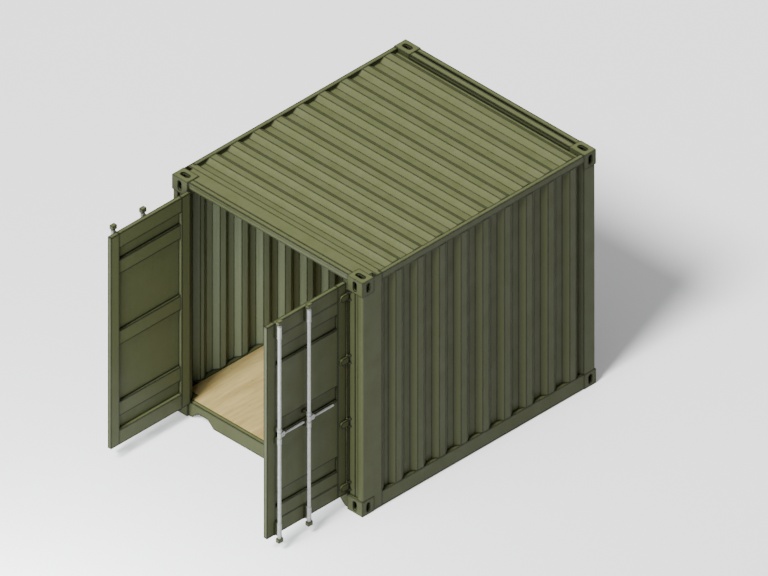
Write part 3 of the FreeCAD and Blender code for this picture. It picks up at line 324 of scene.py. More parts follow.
# %% Noise, ramps and mixes
def noise(tree, place, scale, detail=3.0, stretch=(1, 1, 1), roughness=0.5):
    """Noise from 0 to 1 whose grain is 1 / scale metres, stretched by the factors."""
    mapped = add_node(tree, "ShaderNodeMapping", {"Vector": place, "Scale": stretch})
    made = add_node(tree, "ShaderNodeTexNoise",
                    {"Vector": mapped.outputs["Vector"], "Scale": scale,
                     "Detail": detail, "Roughness": roughness})
    return made.outputs["Fac"]


def ramp(tree, value, low, high, to_low=0.0, to_high=1.0):
    """Straight line from (low, to_low) to (high, to_high), held at its ends."""
    made = add_node(tree, "ShaderNodeMapRange",
                    {"Value": value, "From Min": low, "From Max": high,
                     "To Min": to_low, "To Max": to_high})
    return made.outputs["Result"]


def mix(tree, amount, first, second, blend="MIX"):
    """Colour that goes from first to second as amount goes from 0 to 1."""
    made = add_node(tree, "ShaderNodeMix", {"Factor": amount}, data_type="RGBA",
                    blend_type=blend)
    for number, given in zip(COLOUR_SOCKETS, (first, second)):
        if isinstance(given, bpy.types.NodeSocket):
            tree.links.new(given, made.inputs[number])
        else:
            made.inputs[number].default_value = (*given, 1)
    return made.outputs[COLOUR_RESULT]


def times(tree, first, second):
    """Product of two values."""
    made = add_node(tree, "ShaderNodeMath", {0: first, 1: second}, operation="MULTIPLY")
    return made.outputs[0]


def connect(tree, shader, tone, gloss, height, strength, distance):
    """Joins a colour, a roughness and a bump of strength x distance to the shader."""
    tree.links.new(tone, shader.inputs["Base Color"])
    tree.links.new(gloss, shader.inputs["Roughness"])
    bump = add_node(tree, "ShaderNodeBump", {"Height": height, "Strength": strength,
                                             "Distance": distance})
    tree.links.new(bump.outputs["Normal"], shader.inputs["Normal"])


# %% [markdown]
# ### Paint on steel
# Container paint is a satin alkyd.  It fades unevenly, runs dirty below ledges and gathers
# dust where it faces up.  Shade is painted into it too: near black in the folds, which are
# found with ambient occlusion, and in dark lines along the edges, which are found by
# comparing the surface's own normal with one rounded over about two centimetres: where the
# two differ, there is an edge.

# %% Masks for painted shade in folds and along edges, and painted light on upper and inner faces
EDGE_WIDTH = 0.019
EDGE_SPAN = (0.994, 0.962)
EDGE_RAYS = 8
FOLD_REACH = 0.03
FOLD_SPAN = (0.78, 0.35)
FOLD_RAYS = 6
UP_SPAN = (0.3, 0.9)
IN_SPAN = (0.0, -0.1)


def edge_mask(tree, width):
    """1 where the surface bends within a width, 0 on flats, from n . n_rounded."""
    rounded = add_node(tree, "ShaderNodeBevel", {"Radius": width}, samples=EDGE_RAYS)
    surface = add_node(tree, "ShaderNodeNewGeometry")
    product = add_node(tree, "ShaderNodeVectorMath",
                       {0: rounded.outputs["Normal"], 1: surface.outputs["Normal"]},
                       operation="DOT_PRODUCT")
    return ramp(tree, product.outputs["Value"], *EDGE_SPAN)


def fold_mask(tree, reach):
    """1 deep in a corner, 0 on an open surface."""
    hidden = add_node(tree, "ShaderNodeAmbientOcclusion", {"Distance": reach},
                      samples=FOLD_RAYS)
    return ramp(tree, hidden.outputs["AO"], *FOLD_SPAN)


def facing_up(tree):
    """1 on a level upper face, 0 on an upright one."""
    surface = add_node(tree, "ShaderNodeNewGeometry")
    split = add_node(tree, "ShaderNodeSeparateXYZ", {0: surface.outputs["True Normal"]})
    return ramp(tree, split.outputs["Z"], *UP_SPAN)


def facing_in(tree, place):
    """1 where a wall looks towards the middle of the box: its normal . its place < 0."""
    surface = add_node(tree, "ShaderNodeNewGeometry")
    level = add_node(tree, "ShaderNodeVectorMath", {0: place, 1: (1, 1, 0)},
                     operation="MULTIPLY")
    product = add_node(tree, "ShaderNodeVectorMath",
                       {0: surface.outputs["True Normal"], 1: level.outputs[0]},
                       operation="DOT_PRODUCT")
    return ramp(tree, product.outputs["Value"], *IN_SPAN)


print("edges within", EDGE_WIDTH, "m and folds within", FOLD_REACH, "m are marked")

# %% [markdown]
# One function mixes every paint on the box, and only its colours, its amounts of wear and
# its amounts of painted shade differ.  An image of old paint would need a UV map for each
# part and would repeat; noise in metres needs neither, and goes on from part to part without
# a seam.  Faces that look up get painted light, a lighter tone, and the walls' inner faces
# get painted light too, so that the folds can still be read in the little light that comes
# in through the doorway.

# %% Paint
OLIVE = (0.0315, 0.0350, 0.0145)
OLIVE_SUNNED = (0.0345, 0.0385, 0.0168)
OLIVE_PAINTED_TOP_LIGHT = (0.071, 0.081, 0.0315)
OLIVE_PAINTED_INNER_LIGHT = (0.096, 0.111, 0.066)
PAINTED_SHADE_TONE = (0.004, 0.005, 0.003)
DUST = (0.12, 0.12, 0.075)
PAINT_GLOSS = 0.1
FADE_SCALE = 1.3
MOTTLE_SCALE = 38
MOTTLE_SPAN = (0.25, 0.75)
MOTTLE = (0.93, 1.05)
RUN_SCALE = 16
RUN_STRETCH = (1, 1, 0.045)
RUN_SPAN = (0.52, 0.74)
RUN_DARK = 0.62
DUST_SCALE = 7
DUST_SPAN = (0.35, 0.7)
GLOSS_SCALE = 5
SMOOTHER = 0.07
ROUGHER = 0.1
PEEL_SCALE = 210
PEEL_HEIGHT = 0.002


def paint(name, colour=OLIVE, sunned=OLIVE_SUNNED, painted_top_light=OLIVE_PAINTED_TOP_LIGHT,
          painted_inner_light=None, dust=0.12, streaks=0.15, edges=0.92, folds=0.8, peel=0.06,
          roughness=0.5):
    """Satin paint with fading, dust, runs, painted top and inner light and painted shade."""
    material, tree, shader, place = new_material(name)
    faded = ramp(tree, noise(tree, place, FADE_SCALE, detail=4), *NOISE_SPAN)
    tone = mix(tree, faded, colour, sunned)
    # Painted light: the walls' inner faces get a lighter tone than their outer ones.
    if painted_inner_light:
        tone = mix(tree, facing_in(tree, place), tone, painted_inner_light)
    # Painted light: faces that look up get a lighter tone.
    up = facing_up(tree)
    tone = mix(tree, up, tone, painted_top_light)
    fine = ramp(tree, noise(tree, place, MOTTLE_SCALE, detail=5, roughness=0.62),
                *MOTTLE_SPAN, *MOTTLE)
    grey = add_node(tree, "ShaderNodeCombineColor", {0: fine, 1: fine, 2: fine})
    tone = mix(tree, 1.0, tone, grey.outputs[0], "MULTIPLY")
    runs = ramp(tree, noise(tree, place, RUN_SCALE, stretch=RUN_STRETCH), *RUN_SPAN, 0,
                streaks)
    tone = mix(tree, runs, tone, tuple(RUN_DARK * part for part in colour))
    settled = times(tree, up, ramp(tree, noise(tree, place, DUST_SCALE, detail=6),
                                   *DUST_SPAN))
    tone = mix(tree, times(tree, settled, dust), tone, DUST)
    # Painted shade: near black deep in the folds.
    tone = mix(tree, times(tree, fold_mask(tree, FOLD_REACH), folds), tone, PAINTED_SHADE_TONE)
    # Painted shade: near-black lines along every bend, convex edges included.
    tone = mix(tree, times(tree, edge_mask(tree, EDGE_WIDTH), edges), tone, PAINTED_SHADE_TONE)
    gloss = ramp(tree, noise(tree, place, GLOSS_SCALE, detail=5), *NOISE_SPAN,
                 roughness - SMOOTHER, roughness + ROUGHER)
    skin = noise(tree, place, PEEL_SCALE, detail=2)
    connect(tree, shader, tone, gloss, skin, peel, PEEL_HEIGHT)
    shader.inputs["Specular IOR Level"].default_value = PAINT_GLOSS
    return material


# %% Paints of the box
UNDERBODY = (0.015, 0.016, 0.010)
UNDERBODY_SUNNED = (0.019, 0.020, 0.013)
UNDERBODY_PAINTED_TOP_LIGHT = (0.022, 0.023, 0.015)
SOOT = (0.012, 0.013, 0.006)
SOOT_SUNNED = (0.014, 0.015, 0.007)
SOOT_PAINTED_TOP_LIGHT = (0.018, 0.020, 0.009)

frame_paint = paint("frame_paint")
wall_paint = paint("wall_paint", painted_inner_light=OLIVE_PAINTED_INNER_LIGHT, streaks=0.25)
roof_paint = paint("roof_paint", dust=0.2, streaks=0.0, roughness=0.56)
door_paint = paint("door_paint")
cast_paint = paint("cast_paint", peel=0.35, roughness=0.55)
under_paint = paint("under_paint", colour=UNDERBODY, sunned=UNDERBODY_SUNNED,
                    painted_top_light=UNDERBODY_PAINTED_TOP_LIGHT, peel=0.25, roughness=0.7)
weld_paint = paint("weld_paint", colour=SOOT, sunned=SOOT_SUNNED, painted_top_light=SOOT_PAINTED_TOP_LIGHT,
                   streaks=0.0, edges=0.0, folds=0.3, peel=0.3)
print("paints", [finish.name for finish in (frame_paint, wall_paint, roof_paint, door_paint,
                                            cast_paint, under_paint, weld_paint)])

# %% [markdown]
# ### Zinc
# Bars and handles are dipped in molten zinc, which freezes in crystals a centimetre
# across.  A plain metal shader looks like chrome.  A Voronoi pattern gives each crystal
# its own grey and its own gloss instead, and the surface is only a third metallic,
# because weathered zinc has a chalky skin.

# %% Zinc
ZINC_DARK = (0.135, 0.14, 0.135)
ZINC_LIGHT = (0.195, 0.20, 0.193)
ZINC_STAIN = (0.125, 0.13, 0.123)
ZINC_METAL = 0.3
ZINC_GLOSS = (0.42, 0.56)
ZINC_FOLD = 0.02
ZINC_FOLD_SHADE = 0.7
ZINC_EDGE = 0.004
STAIN_SCALE = 9
STAIN_SPAN = (0.35, 0.7)
STAIN_AMOUNT = 0.3
ZINC_SKIN_SCALE = 160
ZINC_BUMP = (0.08, 0.001)


def zinc(name, crystal=75, edges=0.35):
    """Dull zinc: crystals of slightly different greys, with painted shade in folds and on edges.
    """
    material, tree, shader, place = new_material(name)
    cells = add_node(tree, "ShaderNodeTexVoronoi", {"Vector": place, "Scale": crystal})
    split = add_node(tree, "ShaderNodeSeparateColor", {0: cells.outputs["Color"]})
    tone = mix(tree, split.outputs[0], ZINC_DARK, ZINC_LIGHT)
    clouds = ramp(tree, noise(tree, place, STAIN_SCALE, detail=5), *STAIN_SPAN, 0,
                  STAIN_AMOUNT)
    tone = mix(tree, clouds, tone, ZINC_STAIN)
    # Painted shade: near black in folds and along edges.
    tone = mix(tree, times(tree, fold_mask(tree, ZINC_FOLD), ZINC_FOLD_SHADE), tone, PAINTED_SHADE_TONE)
    tone = mix(tree, times(tree, edge_mask(tree, ZINC_EDGE), edges), tone, PAINTED_SHADE_TONE)
    gloss = ramp(tree, split.outputs[1], 0, 1, *ZINC_GLOSS)
    connect(tree, shader, tone, gloss, noise(tree, place, ZINC_SKIN_SCALE), *ZINC_BUMP)
    shader.inputs["Metallic"].default_value = ZINC_METAL
    return material


bar_zinc = zinc("bar_zinc")
forged_zinc = zinc("forged_zinc", crystal=120, edges=0.5)
print("zinc", bar_zinc.name, forged_zinc.name)

# %% [markdown]
# ### Rubber
# The lips on the leaves and the filler between the floor's boards are black rubber with
# a little bloom: nearly black, matt, cloudy at the scale of a hand.  Pure black would
# hide their shape, so the darkest tone is still a dark grey.

# %% Rubber
RUBBER_DARK = (0.010, 0.011, 0.009)
RUBBER_PALE = (0.022, 0.023, 0.020)
FILLER_DARK = (0.016, 0.013, 0.009)
FILLER_PALE = (0.034, 0.028, 0.018)
BLOOM_SCALE = 14
BLOOM_SPAN = (0.35, 0.75)
RUBBER_GRAIN_SCALE = 320
RUBBER_GLOSS = (0.62, 0.8)
RUBBER_BUMP = (0.1, 0.0005)
RUBBER_SHINE = 0.2


def rubbery(name, dark, pale):
    """Matt black with a pale bloom in soft clouds."""
    material, tree, shader, place = new_material(name)
    bloom = ramp(tree, noise(tree, place, BLOOM_SCALE, detail=5), *BLOOM_SPAN)
    gloss = ramp(tree, bloom, 0, 1, *RUBBER_GLOSS)
    grain = noise(tree, place, RUBBER_GRAIN_SCALE, detail=2)
    connect(tree, shader, mix(tree, bloom, dark, pale), gloss, grain, *RUBBER_BUMP)
    shader.inputs["Specular IOR Level"].default_value = RUBBER_SHINE
    return material


rubber = rubbery("rubber", RUBBER_DARK, RUBBER_PALE)
board_filler = rubbery("board_filler", FILLER_DARK, FILLER_PALE)
print("rubber", rubber.name, board_filler.name)

# %% [markdown]
# ### Plywood
# The floor is thick plywood with its face grain along the box.  Noise stretched fourteen
# times along Y gives the grain, a finer one the fibres, and worn patches are paler.  A
# wave texture would give grain too, but too even a one.

# %% Plywood
PLY_DARK = (0.245, 0.178, 0.060)
PLY_LIGHT = (0.335, 0.257, 0.096)
PLY_FIBRE = (0.165, 0.112, 0.038)
PLY_WORN = (0.31, 0.248, 0.112)
PLY_PAINTED_SHADE = (0.06, 0.042, 0.02)
PLY_FOLD = 0.05
PLY_FOLD_SHADE = 0.6
PLY_GLOSS = (0.5, 0.66)
PLY_BUMP = (0.12, 0.001)
WANDER_SCALE = 2.4
WANDER_STRETCH = (1, 0.25, 1)
WANDER_REACH = 0.16
GRAIN_SCALE = 26
GRAIN_STRETCH = (1, 0.07, 1)
GRAIN_SPAN = (0.34, 0.66)
FIBRE_SCALE = 190
FIBRE_STRETCH = (1, 0.045, 1)
FIBRE_SPAN = (0.45, 0.75)
FIBRE_AMOUNT = 0.45
WEAR_SCALE = 3.2
WEAR_STRETCH = (1, 0.5, 1)
WEAR_SPAN = (0.45, 0.75)
WEAR_AMOUNT = 0.35


def plywood(name):
    """Sealed plywood with grain along Y, bent sideways by up to WANDER_REACH."""
    material, tree, shader, place = new_material(name)
    wander = noise(tree, place, WANDER_SCALE, stretch=WANDER_STRETCH)
    shift = add_node(tree, "ShaderNodeCombineXYZ", {"X": times(tree, wander, WANDER_REACH)})
    bent = add_node(tree, "ShaderNodeVectorMath", {0: place, 1: shift.outputs[0]},
                    operation="ADD")
    grain = noise(tree, bent.outputs[0], GRAIN_SCALE, 4, GRAIN_STRETCH, roughness=0.6)
    fibre = noise(tree, place, FIBRE_SCALE, 3, FIBRE_STRETCH, roughness=0.7)
    tone = mix(tree, ramp(tree, grain, *GRAIN_SPAN), PLY_DARK, PLY_LIGHT)
    tone = mix(tree, ramp(tree, fibre, *FIBRE_SPAN, 0, FIBRE_AMOUNT), tone, PLY_FIBRE)
    worn = noise(tree, place, WEAR_SCALE, 6, WEAR_STRETCH)
    tone = mix(tree, ramp(tree, worn, *WEAR_SPAN, 0, WEAR_AMOUNT), tone, PLY_WORN)
    # Painted shade: darker in the corners and beside the parts that stand on the boards.
    tone = mix(tree, times(tree, fold_mask(tree, PLY_FOLD), PLY_FOLD_SHADE), tone, PLY_PAINTED_SHADE)
    gloss = ramp(tree, grain, *NOISE_SPAN, *PLY_GLOSS)
    connect(tree, shader, tone, gloss, fibre, *PLY_BUMP)
    return material


floor_ply = plywood("floor_ply")
print("plywood", floor_ply.name)

# %% [markdown]
# ### Studio floor
# The box stands on a plain pale floor, which is a stage and not part of it.  It is one
# large square, so no horizon shows, with a faint mottle that keeps it from looking like
# paper.

# %% Studio floor
FLOOR_GREY = (0.80, 0.80, 0.795)
FLOOR_MOTTLE = 0.985
FLOOR_MOTTLE_SCALE = 0.7
FLOOR_ROUGHNESS = 0.9
FLOOR_REACH = 40.0


def pale_floor(name):
    """Matt floor paint between FLOOR_GREY and FLOOR_MOTTLE times it."""
    material, tree, shader, place = new_material(name)
    tone = mix(tree, noise(tree, place, FLOOR_MOTTLE_SCALE, 2), FLOOR_GREY,
               tuple(FLOOR_MOTTLE * part for part in FLOOR_GREY))
    tree.links.new(tone, shader.inputs["Base Color"])
    shader.inputs["Roughness"].default_value = FLOOR_ROUGHNESS
    return material


def add_floor(reach, finish):
    """Square plate at ground level, its corners at (+-reach, +-reach)."""
    mesh = bpy.data.meshes.new("studio_floor")
    corners = reach * np.array([[-1, -1, 0], [1, -1, 0], [1, 1, 0], [-1, 1, 0]])
    mesh.from_pydata(corners.tolist(), [], [(0, 1, 2, 3)])
    mesh.materials.append(finish)
    plate = bpy.data.objects.new("studio_floor", mesh)
    bpy.context.collection.objects.link(plate)
    return plate


add_floor(FLOOR_REACH, pale_floor("studio_floor"))
print("studio floor", 2 * FLOOR_REACH, "m wide")

# %% [markdown]
# ## Finishes on the engineering model
# The frame, skin and leaves keep the shapes they have, which are those of the folded
# plates themselves.  Only their finish is set here, chosen by a word in the part's name,
# so that a part which is added later gets a finish without a line of its own.

# %% Finish each part
FINISHES = (
    ("corner_castings", cast_paint),
    ("crossmembers", under_paint),
    ("floor_boards", floor_ply),
    ("_wall", wall_paint),
    ("roof_", roof_paint),
    ("lock_bar", bar_zinc),
    ("bar_bearings", forged_zinc),
    ("_handle", forged_zinc),
    ("bar_fittings", forged_zinc),
    ("hinge_", frame_paint),
    ("door_right_", door_paint),
    ("door_left_", door_paint),
)


def finish_for(name):
    """First finish whose key is part of the name, else the frame's paint."""
    return next((finish for key, finish in FINISHES if key in name), frame_paint)


for name, part in nodes.items():
    if not part.material_slots:
        part.data.materials.append(None)
    for holder in part.material_slots:
        holder.material = finish_for(name)
print("finished", len(nodes), "parts")

# %% [markdown]
# ## Locking gear
# A forged cam at each end of a locking bar holds the leaf shut.  Between them a hub with
# two ears carries the lifting handle, and four bearings riveted to the leaf carry the
# bar.  The engineering model has plain shapes for these.  The cams and feet are painted
# and the rest is zinc, so each becomes its own piece here, at the model's own places.
# An outline is raised from level to level, and a Bevel modifier gives it the rounded
# edges of a forging.

# %% Places of the locking gear
SIDES = {"right": 1, "left": -1}
LOCK_BARS = ("centre", "hinge")


def bar_axis(prefix):
    """X and Y of a bar's axis."""
    low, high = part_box(f"{prefix}_lock_bar")
    return (low[0] + high[0]) / 2, (low[1] + high[1]) / 2


def cut_rectangle(half_x, half_y, cut):
    """Rectangle (+-half_x, +-half_y) whose corners are cut off at 45 degrees."""
    return np.array([(half_x, half_y - cut), (half_x - cut, half_y),
                     (cut - half_x, half_y), (-half_x, half_y - cut),
                     (-half_x, cut - half_y), (cut - half_x, -half_y),
                     (half_x - cut, -half_y), (half_x, cut - half_y)])


def upright(outline, centre, levels):
    """Rings of one outline about a centre (x, y), one ring at each level."""
    ring = np.asarray(centre) + outline
    return np.stack([np.column_stack([ring, np.full(len(ring), level)])
                     for level in levels])


def turned(centre, profile, sides=28):
    """Rings about an upright axis, one for each (radius, z) pair of the profile."""
    return np.stack([upright(circle_section(radius, sides), centre, [level])[0]
                     for radius, level in profile])


print("bar axes", [[round(value, 4) for value in bar_axis(f"door_{side}_{bar}")]
                   for side in SIDES for bar in LOCK_BARS])

# %% Cams
CAM_HEIGHT = 0.038
CAM_CUT = 0.005
CAM_BEVEL = 0.0025
BAR_COVER = 0.0032


def make_cams(prefix):
    """Block with cut corners over each end of the bar, which it just hides."""
    low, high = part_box(f"{prefix}_bar_fittings")
    x, y = bar_axis(prefix)
    outline = cut_rectangle((high[0] - low[0]) / 2, y - low[1], CAM_CUT)
    points = np.stack([
        upright(outline, (x, y), (low[2] - BAR_COVER, low[2] + CAM_HEIGHT)),
        upright(outline, (x, y), (high[2] - CAM_HEIGHT, high[2] + BAR_COVER))])
    piece = ringed(f"{prefix}_cams", points, f"{prefix}_bar", frame_paint,
                   bevel=CAM_BEVEL)
    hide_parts(f"{prefix}_bar_fittings")
    return piece


for side in SIDES:
    for bar in LOCK_BARS:
        make_cams(f"door_{side}_{bar}")

# %% [markdown]
# The hub is a short sleeve with a rolled rim at each end.  Its ears are two plates with
# rounded corners, and a rivet through both of them is the pivot of the handle.  Blender
# can spin a profile into a sleeve, but that leaves doubled points at the seam; a ring of
# cosines and sines for each step of the profile has none.

# %% Sizes of a hub
HANDLE_LEVEL = joint_places["door_right_centre_handle_lift"][2]
HANDLE_DROP = 0.0085
HUB_MIDDLE = HANDLE_LEVEL + HANDLE_DROP
HUB_RADIUS = 0.021
HUB_LENGTH = 0.059
HUB_LOW = HUB_MIDDLE - HUB_LENGTH / 2
HUB_HIGH = HUB_MIDDLE + HUB_LENGTH / 2
HUB_RIM = 0.0016
RIM_ROUND = 0.0015
RIM_LENGTH = 0.008
RIM_STEP = 0.010
SLEEVE_BEVEL = 0.0008
PLATE_BEVEL = 0.0012
EAR_REACH = 0.059
EAR_PLATE = 0.006
EAR_NEAR = 0.008
EAR_HEIGHT = 0.053
EAR_ROUND = 0.013
HANDLE_PIVOT = 0.042
PIVOT_RADIUS = 0.0085
PIVOT_HEIGHT = 0.005
print("hub from", round(HUB_LOW, 4), "to", round(HUB_HIGH, 4))

# %% Hubs
def rimmed(radius, low, high, rim=HUB_RIM):
    """(radius, z) profile of a sleeve whose two ends swell by a rim."""
    half = [(radius - rim, 0), (radius, RIM_ROUND), (radius, RIM_LENGTH),
            (radius - rim, RIM_STEP)]
    return ([(reach, low + rise) for reach, rise in half]
            + [(reach, high - rise) for reach, rise in reversed(half)])


def rounded_tip(near, far, low, high, radius, steps=6):
    """Outline in (y, z): square at near, corners rounded to a radius at far."""
    inward = math.copysign(radius, far - near)
    turn = np.linspace(-np.pi / 2, 0, steps)
    lower = np.column_stack([far - inward + inward * np.cos(turn),
                             low + radius + radius * np.sin(turn)])
    upper = np.column_stack([lower[::-1, 0], low + high - lower[::-1, 1]])
    return np.vstack([[(near, low)], lower, upper, [(near, high)]])


def make_hub(prefix, sign):
    """Sleeve, two ears and the head of the rivet through them."""
    x, y = bar_axis(prefix)
    body = f"{prefix}_bar"
    sleeve = turned((x, y), rimmed(HUB_RADIUS, HUB_LOW, HUB_HIGH))[None]
    collar = ringed(f"{prefix}_hub", sleeve, body, forged_zinc,
                    bevel=SLEEVE_BEVEL)
    outline = rounded_tip(y, y + EAR_REACH, HUB_MIDDLE - EAR_HEIGHT / 2,
                          HUB_MIDDLE + EAR_HEIGHT / 2, EAR_ROUND)
    faces_x = x + np.array([[EAR_NEAR, EAR_NEAR + EAR_PLATE],
                            [-EAR_NEAR - EAR_PLATE, -EAR_NEAR]])
    ears = np.stack([[np.column_stack([np.full(len(outline), face), outline])
                      for face in pair] for pair in faces_x])
    plates = ringed(f"{prefix}_ears", ears, body, forged_zinc,
                    bevel=PLATE_BEVEL)
    for piece in (collar, plates):
        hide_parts(f"{prefix}_bar_fittings")
    head = (x + sign * (EAR_NEAR + EAR_PLATE), y + HANDLE_PIVOT, HANDLE_LEVEL)
    domes(f"{prefix}_rivet", [head], (sign, 0, 0), PIVOT_RADIUS, PIVOT_HEIGHT, body,
          forged_zinc)


for side, sign in SIDES.items():
    for bar in LOCK_BARS:
        make_hub(f"door_{side}_{bar}", sign)

# %% [markdown]
# The handle is a flat forging: an eye round the pivot, a slightly narrower neck and a
# grip whose end is rounded.  Its section is a rectangle with cut corners, and one height
# for each place along it gives the whole surface.  A box under a Subdivision Surface
# would look as soft, but it shrinks away from its cage, and this keeps the true length.

# %% Handles
NECK_HEIGHT = 0.0078
GRIP_HEIGHT = 0.0100
GRIP_CUT = 0.3
GRIP_BEVEL = 0.001
NECK_PLACE = 0.22
NECK_SPREAD = 0.10
SHANK_END = 0.96
SHANK_ROWS = 40
TIP_ROWS = 10
TIP_START = 0.955
TIP_RUN = 0.0455
TIP_FLAT = 0.02
TIP_NARROW = 0.25


def make_handle(prefix):
    """Section (a, b h(s)): h goes eye, neck, grip and falls as sqrt(1 - t t) at the end."""
    low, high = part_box(f"{prefix}_handle")
    closing = np.sin(np.linspace(0.1, np.pi / 2, TIP_ROWS))
    along = np.concatenate([np.linspace(0, SHANK_END, SHANK_ROWS),
                            SHANK_END + (1 - SHANK_END) * closing])
    y = low[1] + (high[1] - low[1]) * along
    waist = np.exp(-((along - NECK_PLACE) / NECK_SPREAD) ** 2)
    neck = 1 - waist * (1 - NECK_HEIGHT / GRIP_HEIGHT)
    past = np.clip(along - TIP_START, 0, None) / TIP_RUN
    tip = np.sqrt(np.clip(1 - past ** 2, TIP_FLAT, 1))
    half_x = (high[0] - low[0]) / 2 * (1 - TIP_NARROW + TIP_NARROW * tip)
    half_z = (high[2] - low[2]) / 2 * neck * tip
    shape = cut_rectangle(1, 1, GRIP_CUT)
    points = np.stack([
        (low[0] + high[0]) / 2 + half_x[:, None] * shape[None, :, 0],
        np.broadcast_to(y[:, None], (len(y), len(shape))),
        (low[2] + high[2]) / 2 + half_z[:, None] * shape[None, :, 1]], axis=-1)
    piece = ringed(f"{prefix}_grip_bar", points[None], f"{prefix}_grip", forged_zinc,
                   bevel=GRIP_BEVEL)
    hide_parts(f"{prefix}_handle")
    return piece


for side in SIDES:
    for bar in LOCK_BARS:
        make_handle(f"door_{side}_{bar}")

# %% [markdown]
# A bearing is a zinc sleeve on a painted foot, which two or four rivets hold to the
# leaf.  The long ones stand at the leaf's ends and the short ones above and below the
# hub.  The panel lies deeper than its frame, so a foot's seat depends on where it is.
# Copies of one bearing would be less to build, but no two of a leaf's lengths and seats
# are quite the same, so each comes from its own span and depth.

# %% Places of the bearings
LONG_BEARING = 0.140
TOP_INSET = 0.010
LOWER_GUIDE = 0.059
UPPER_GUIDE = 0.034
GUIDE_GAP = 0.008
FRAME_FACE = 0.0
PANEL_FACE = 0.003
GROOVE_DEEP = 0.024
GROOVE_FACE = PANEL_FACE + GROOVE_DEEP
SEATS = {"centre": (FRAME_FACE, FRAME_FACE, FRAME_FACE, FRAME_FACE),
         "hinge": (FRAME_FACE, PANEL_FACE, GROOVE_FACE, FRAME_FACE)}

leaf_low, leaf_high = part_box("door_right_stiles")
SPANS = ((leaf_low[2], leaf_low[2] + LONG_BEARING),
         (HUB_LOW - GUIDE_GAP - LOWER_GUIDE, HUB_LOW - GUIDE_GAP),
         (HUB_HIGH + GUIDE_GAP, HUB_HIGH + GUIDE_GAP + UPPER_GUIDE),
         (leaf_high[2] - TOP_INSET - LONG_BEARING, leaf_high[2] - TOP_INSET))
print("bearings at", [[round(level, 4) for level in span] for span in SPANS])

# %% Bearings
SLEEVE_RADIUS = 0.023
SLEEVE_RIM = 0.0022
FOOT_HALF = 0.030
FOOT_PLATE = 0.006
WEB_HALF = 0.014
WEB_INSET = 0.002
RIVET_IN = 0.022
RIVET_RADIUS = 0.006
RIVET_HEIGHT = 0.0035
LONG_ROWS = (0.2, 0.8)
SHORT_ROWS = (0.5,)


def block(x_low, x_high, y_low, y_high, low, high):
    """Rings of a plain block."""
    outline = np.array([(x_low, y_low), (x_high, y_low), (x_high, y_high), (x_low, y_high)])
    return upright(outline, (0, 0), (low, high))


def outer_face(node, sign):
    """X of a part's face that looks away from the middle of the box."""
    low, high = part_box(node)
    return sign * max(abs(low[0]), abs(high[0]))


def make_bearings(side, sign):
    """Sleeves, feet, webs and rivets of one leaf."""
    body = f"door_{side}"
    face = outer_face(f"{body}_stiles", sign)
    sleeves, plates, webs, heads = [], [], [], []
    for bar in LOCK_BARS:
        x, y = bar_axis(f"{body}_{bar}")
        for (low, high), depth in zip(SPANS, SEATS[bar]):
            seat = face - sign * depth
            top = seat + sign * FOOT_PLATE
            sleeves.append(turned((x, y), rimmed(SLEEVE_RADIUS, low, high, SLEEVE_RIM)))
            plates.append(block(seat, top, y - FOOT_HALF, y + FOOT_HALF, low, high))
            webs.append(block(top, x, y - WEB_HALF, y + WEB_HALF, low + WEB_INSET,
                              high - WEB_INSET))
            rows = LONG_ROWS if high - low > LONG_BEARING / 2 else SHORT_ROWS
            heads += [(top, y + across, low + (high - low) * part)
                      for across in (-RIVET_IN, RIVET_IN) for part in rows]
    pieces = [
        ringed(f"{body}_bearing_sleeves", np.stack(sleeves), body, forged_zinc,
               bevel=SLEEVE_BEVEL),
        ringed(f"{body}_bearing_feet", np.stack(plates), body, door_paint,
               bevel=PLATE_BEVEL),
        # The webs take the near-black weld paint: painted shade between sleeve and foot.
        ringed(f"{body}_bearing_webs", np.stack(webs), body, weld_paint,
               bevel=PLATE_BEVEL)]
    for piece in pieces:
        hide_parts(f"{body}_bar_bearings")
    domes(f"{body}_bearing_rivets", heads, (sign, 0, 0), RIVET_RADIUS, RIVET_HEIGHT, body,
          door_paint)


for side, sign in SIDES.items():
    make_bearings(side, sign)

# %% [markdown]
# ## Hinges
# Each hinge turns on a pin whose two riveted heads show above and below the lugs.  The
# pins stand on the axis about which the leaf swings, so their place comes from there.

# %% Hinge pin heads
PIN_X, PIN_Y = joint_places["door_right_swing"][:2]
PIN_HEAD_RADIUS = 0.0095
PIN_HEAD_HEIGHT = 0.005
HINGE_COUNT = 4
HINGE_SPAN = 0.097

lugs_low, lugs_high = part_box("hinge_lugs")
lower_levels = np.linspace(lugs_low[2], lugs_high[2] - HINGE_SPAN, HINGE_COUNT)
upper_levels = lower_levels + HINGE_SPAN
for side, sign in SIDES.items():
    for place, levels, up in (("upper", upper_levels, 1), ("lower", lower_levels, -1)):
        domes(f"hinge_pin_heads_{place}_{side}", [(sign * PIN_X, PIN_Y, z) for z in levels],
              (0, 0, up), PIN_HEAD_RADIUS, PIN_HEAD_HEIGHT, "container", frame_paint)

# %% [markdown]
# A rubber lip on the leaf's hinge edge closes the gap to the jamb.  It is one small
# outline raised over the leaf's height; its outer corner is cut back, because it passes
# close to the jamb when the leaf swings.

# %% Edge seals
SEAL_WIDTH = 0.006
SEAL_REACH = 0.0052
SEAL_INSET = 0.004
SEAL_RINGS = 12
SEAL_SHAPE = np.array([(0, 0), (0, 0.92), (0.1, 1), (0.5, 0.95), (1, 0.7), (1, 0)])


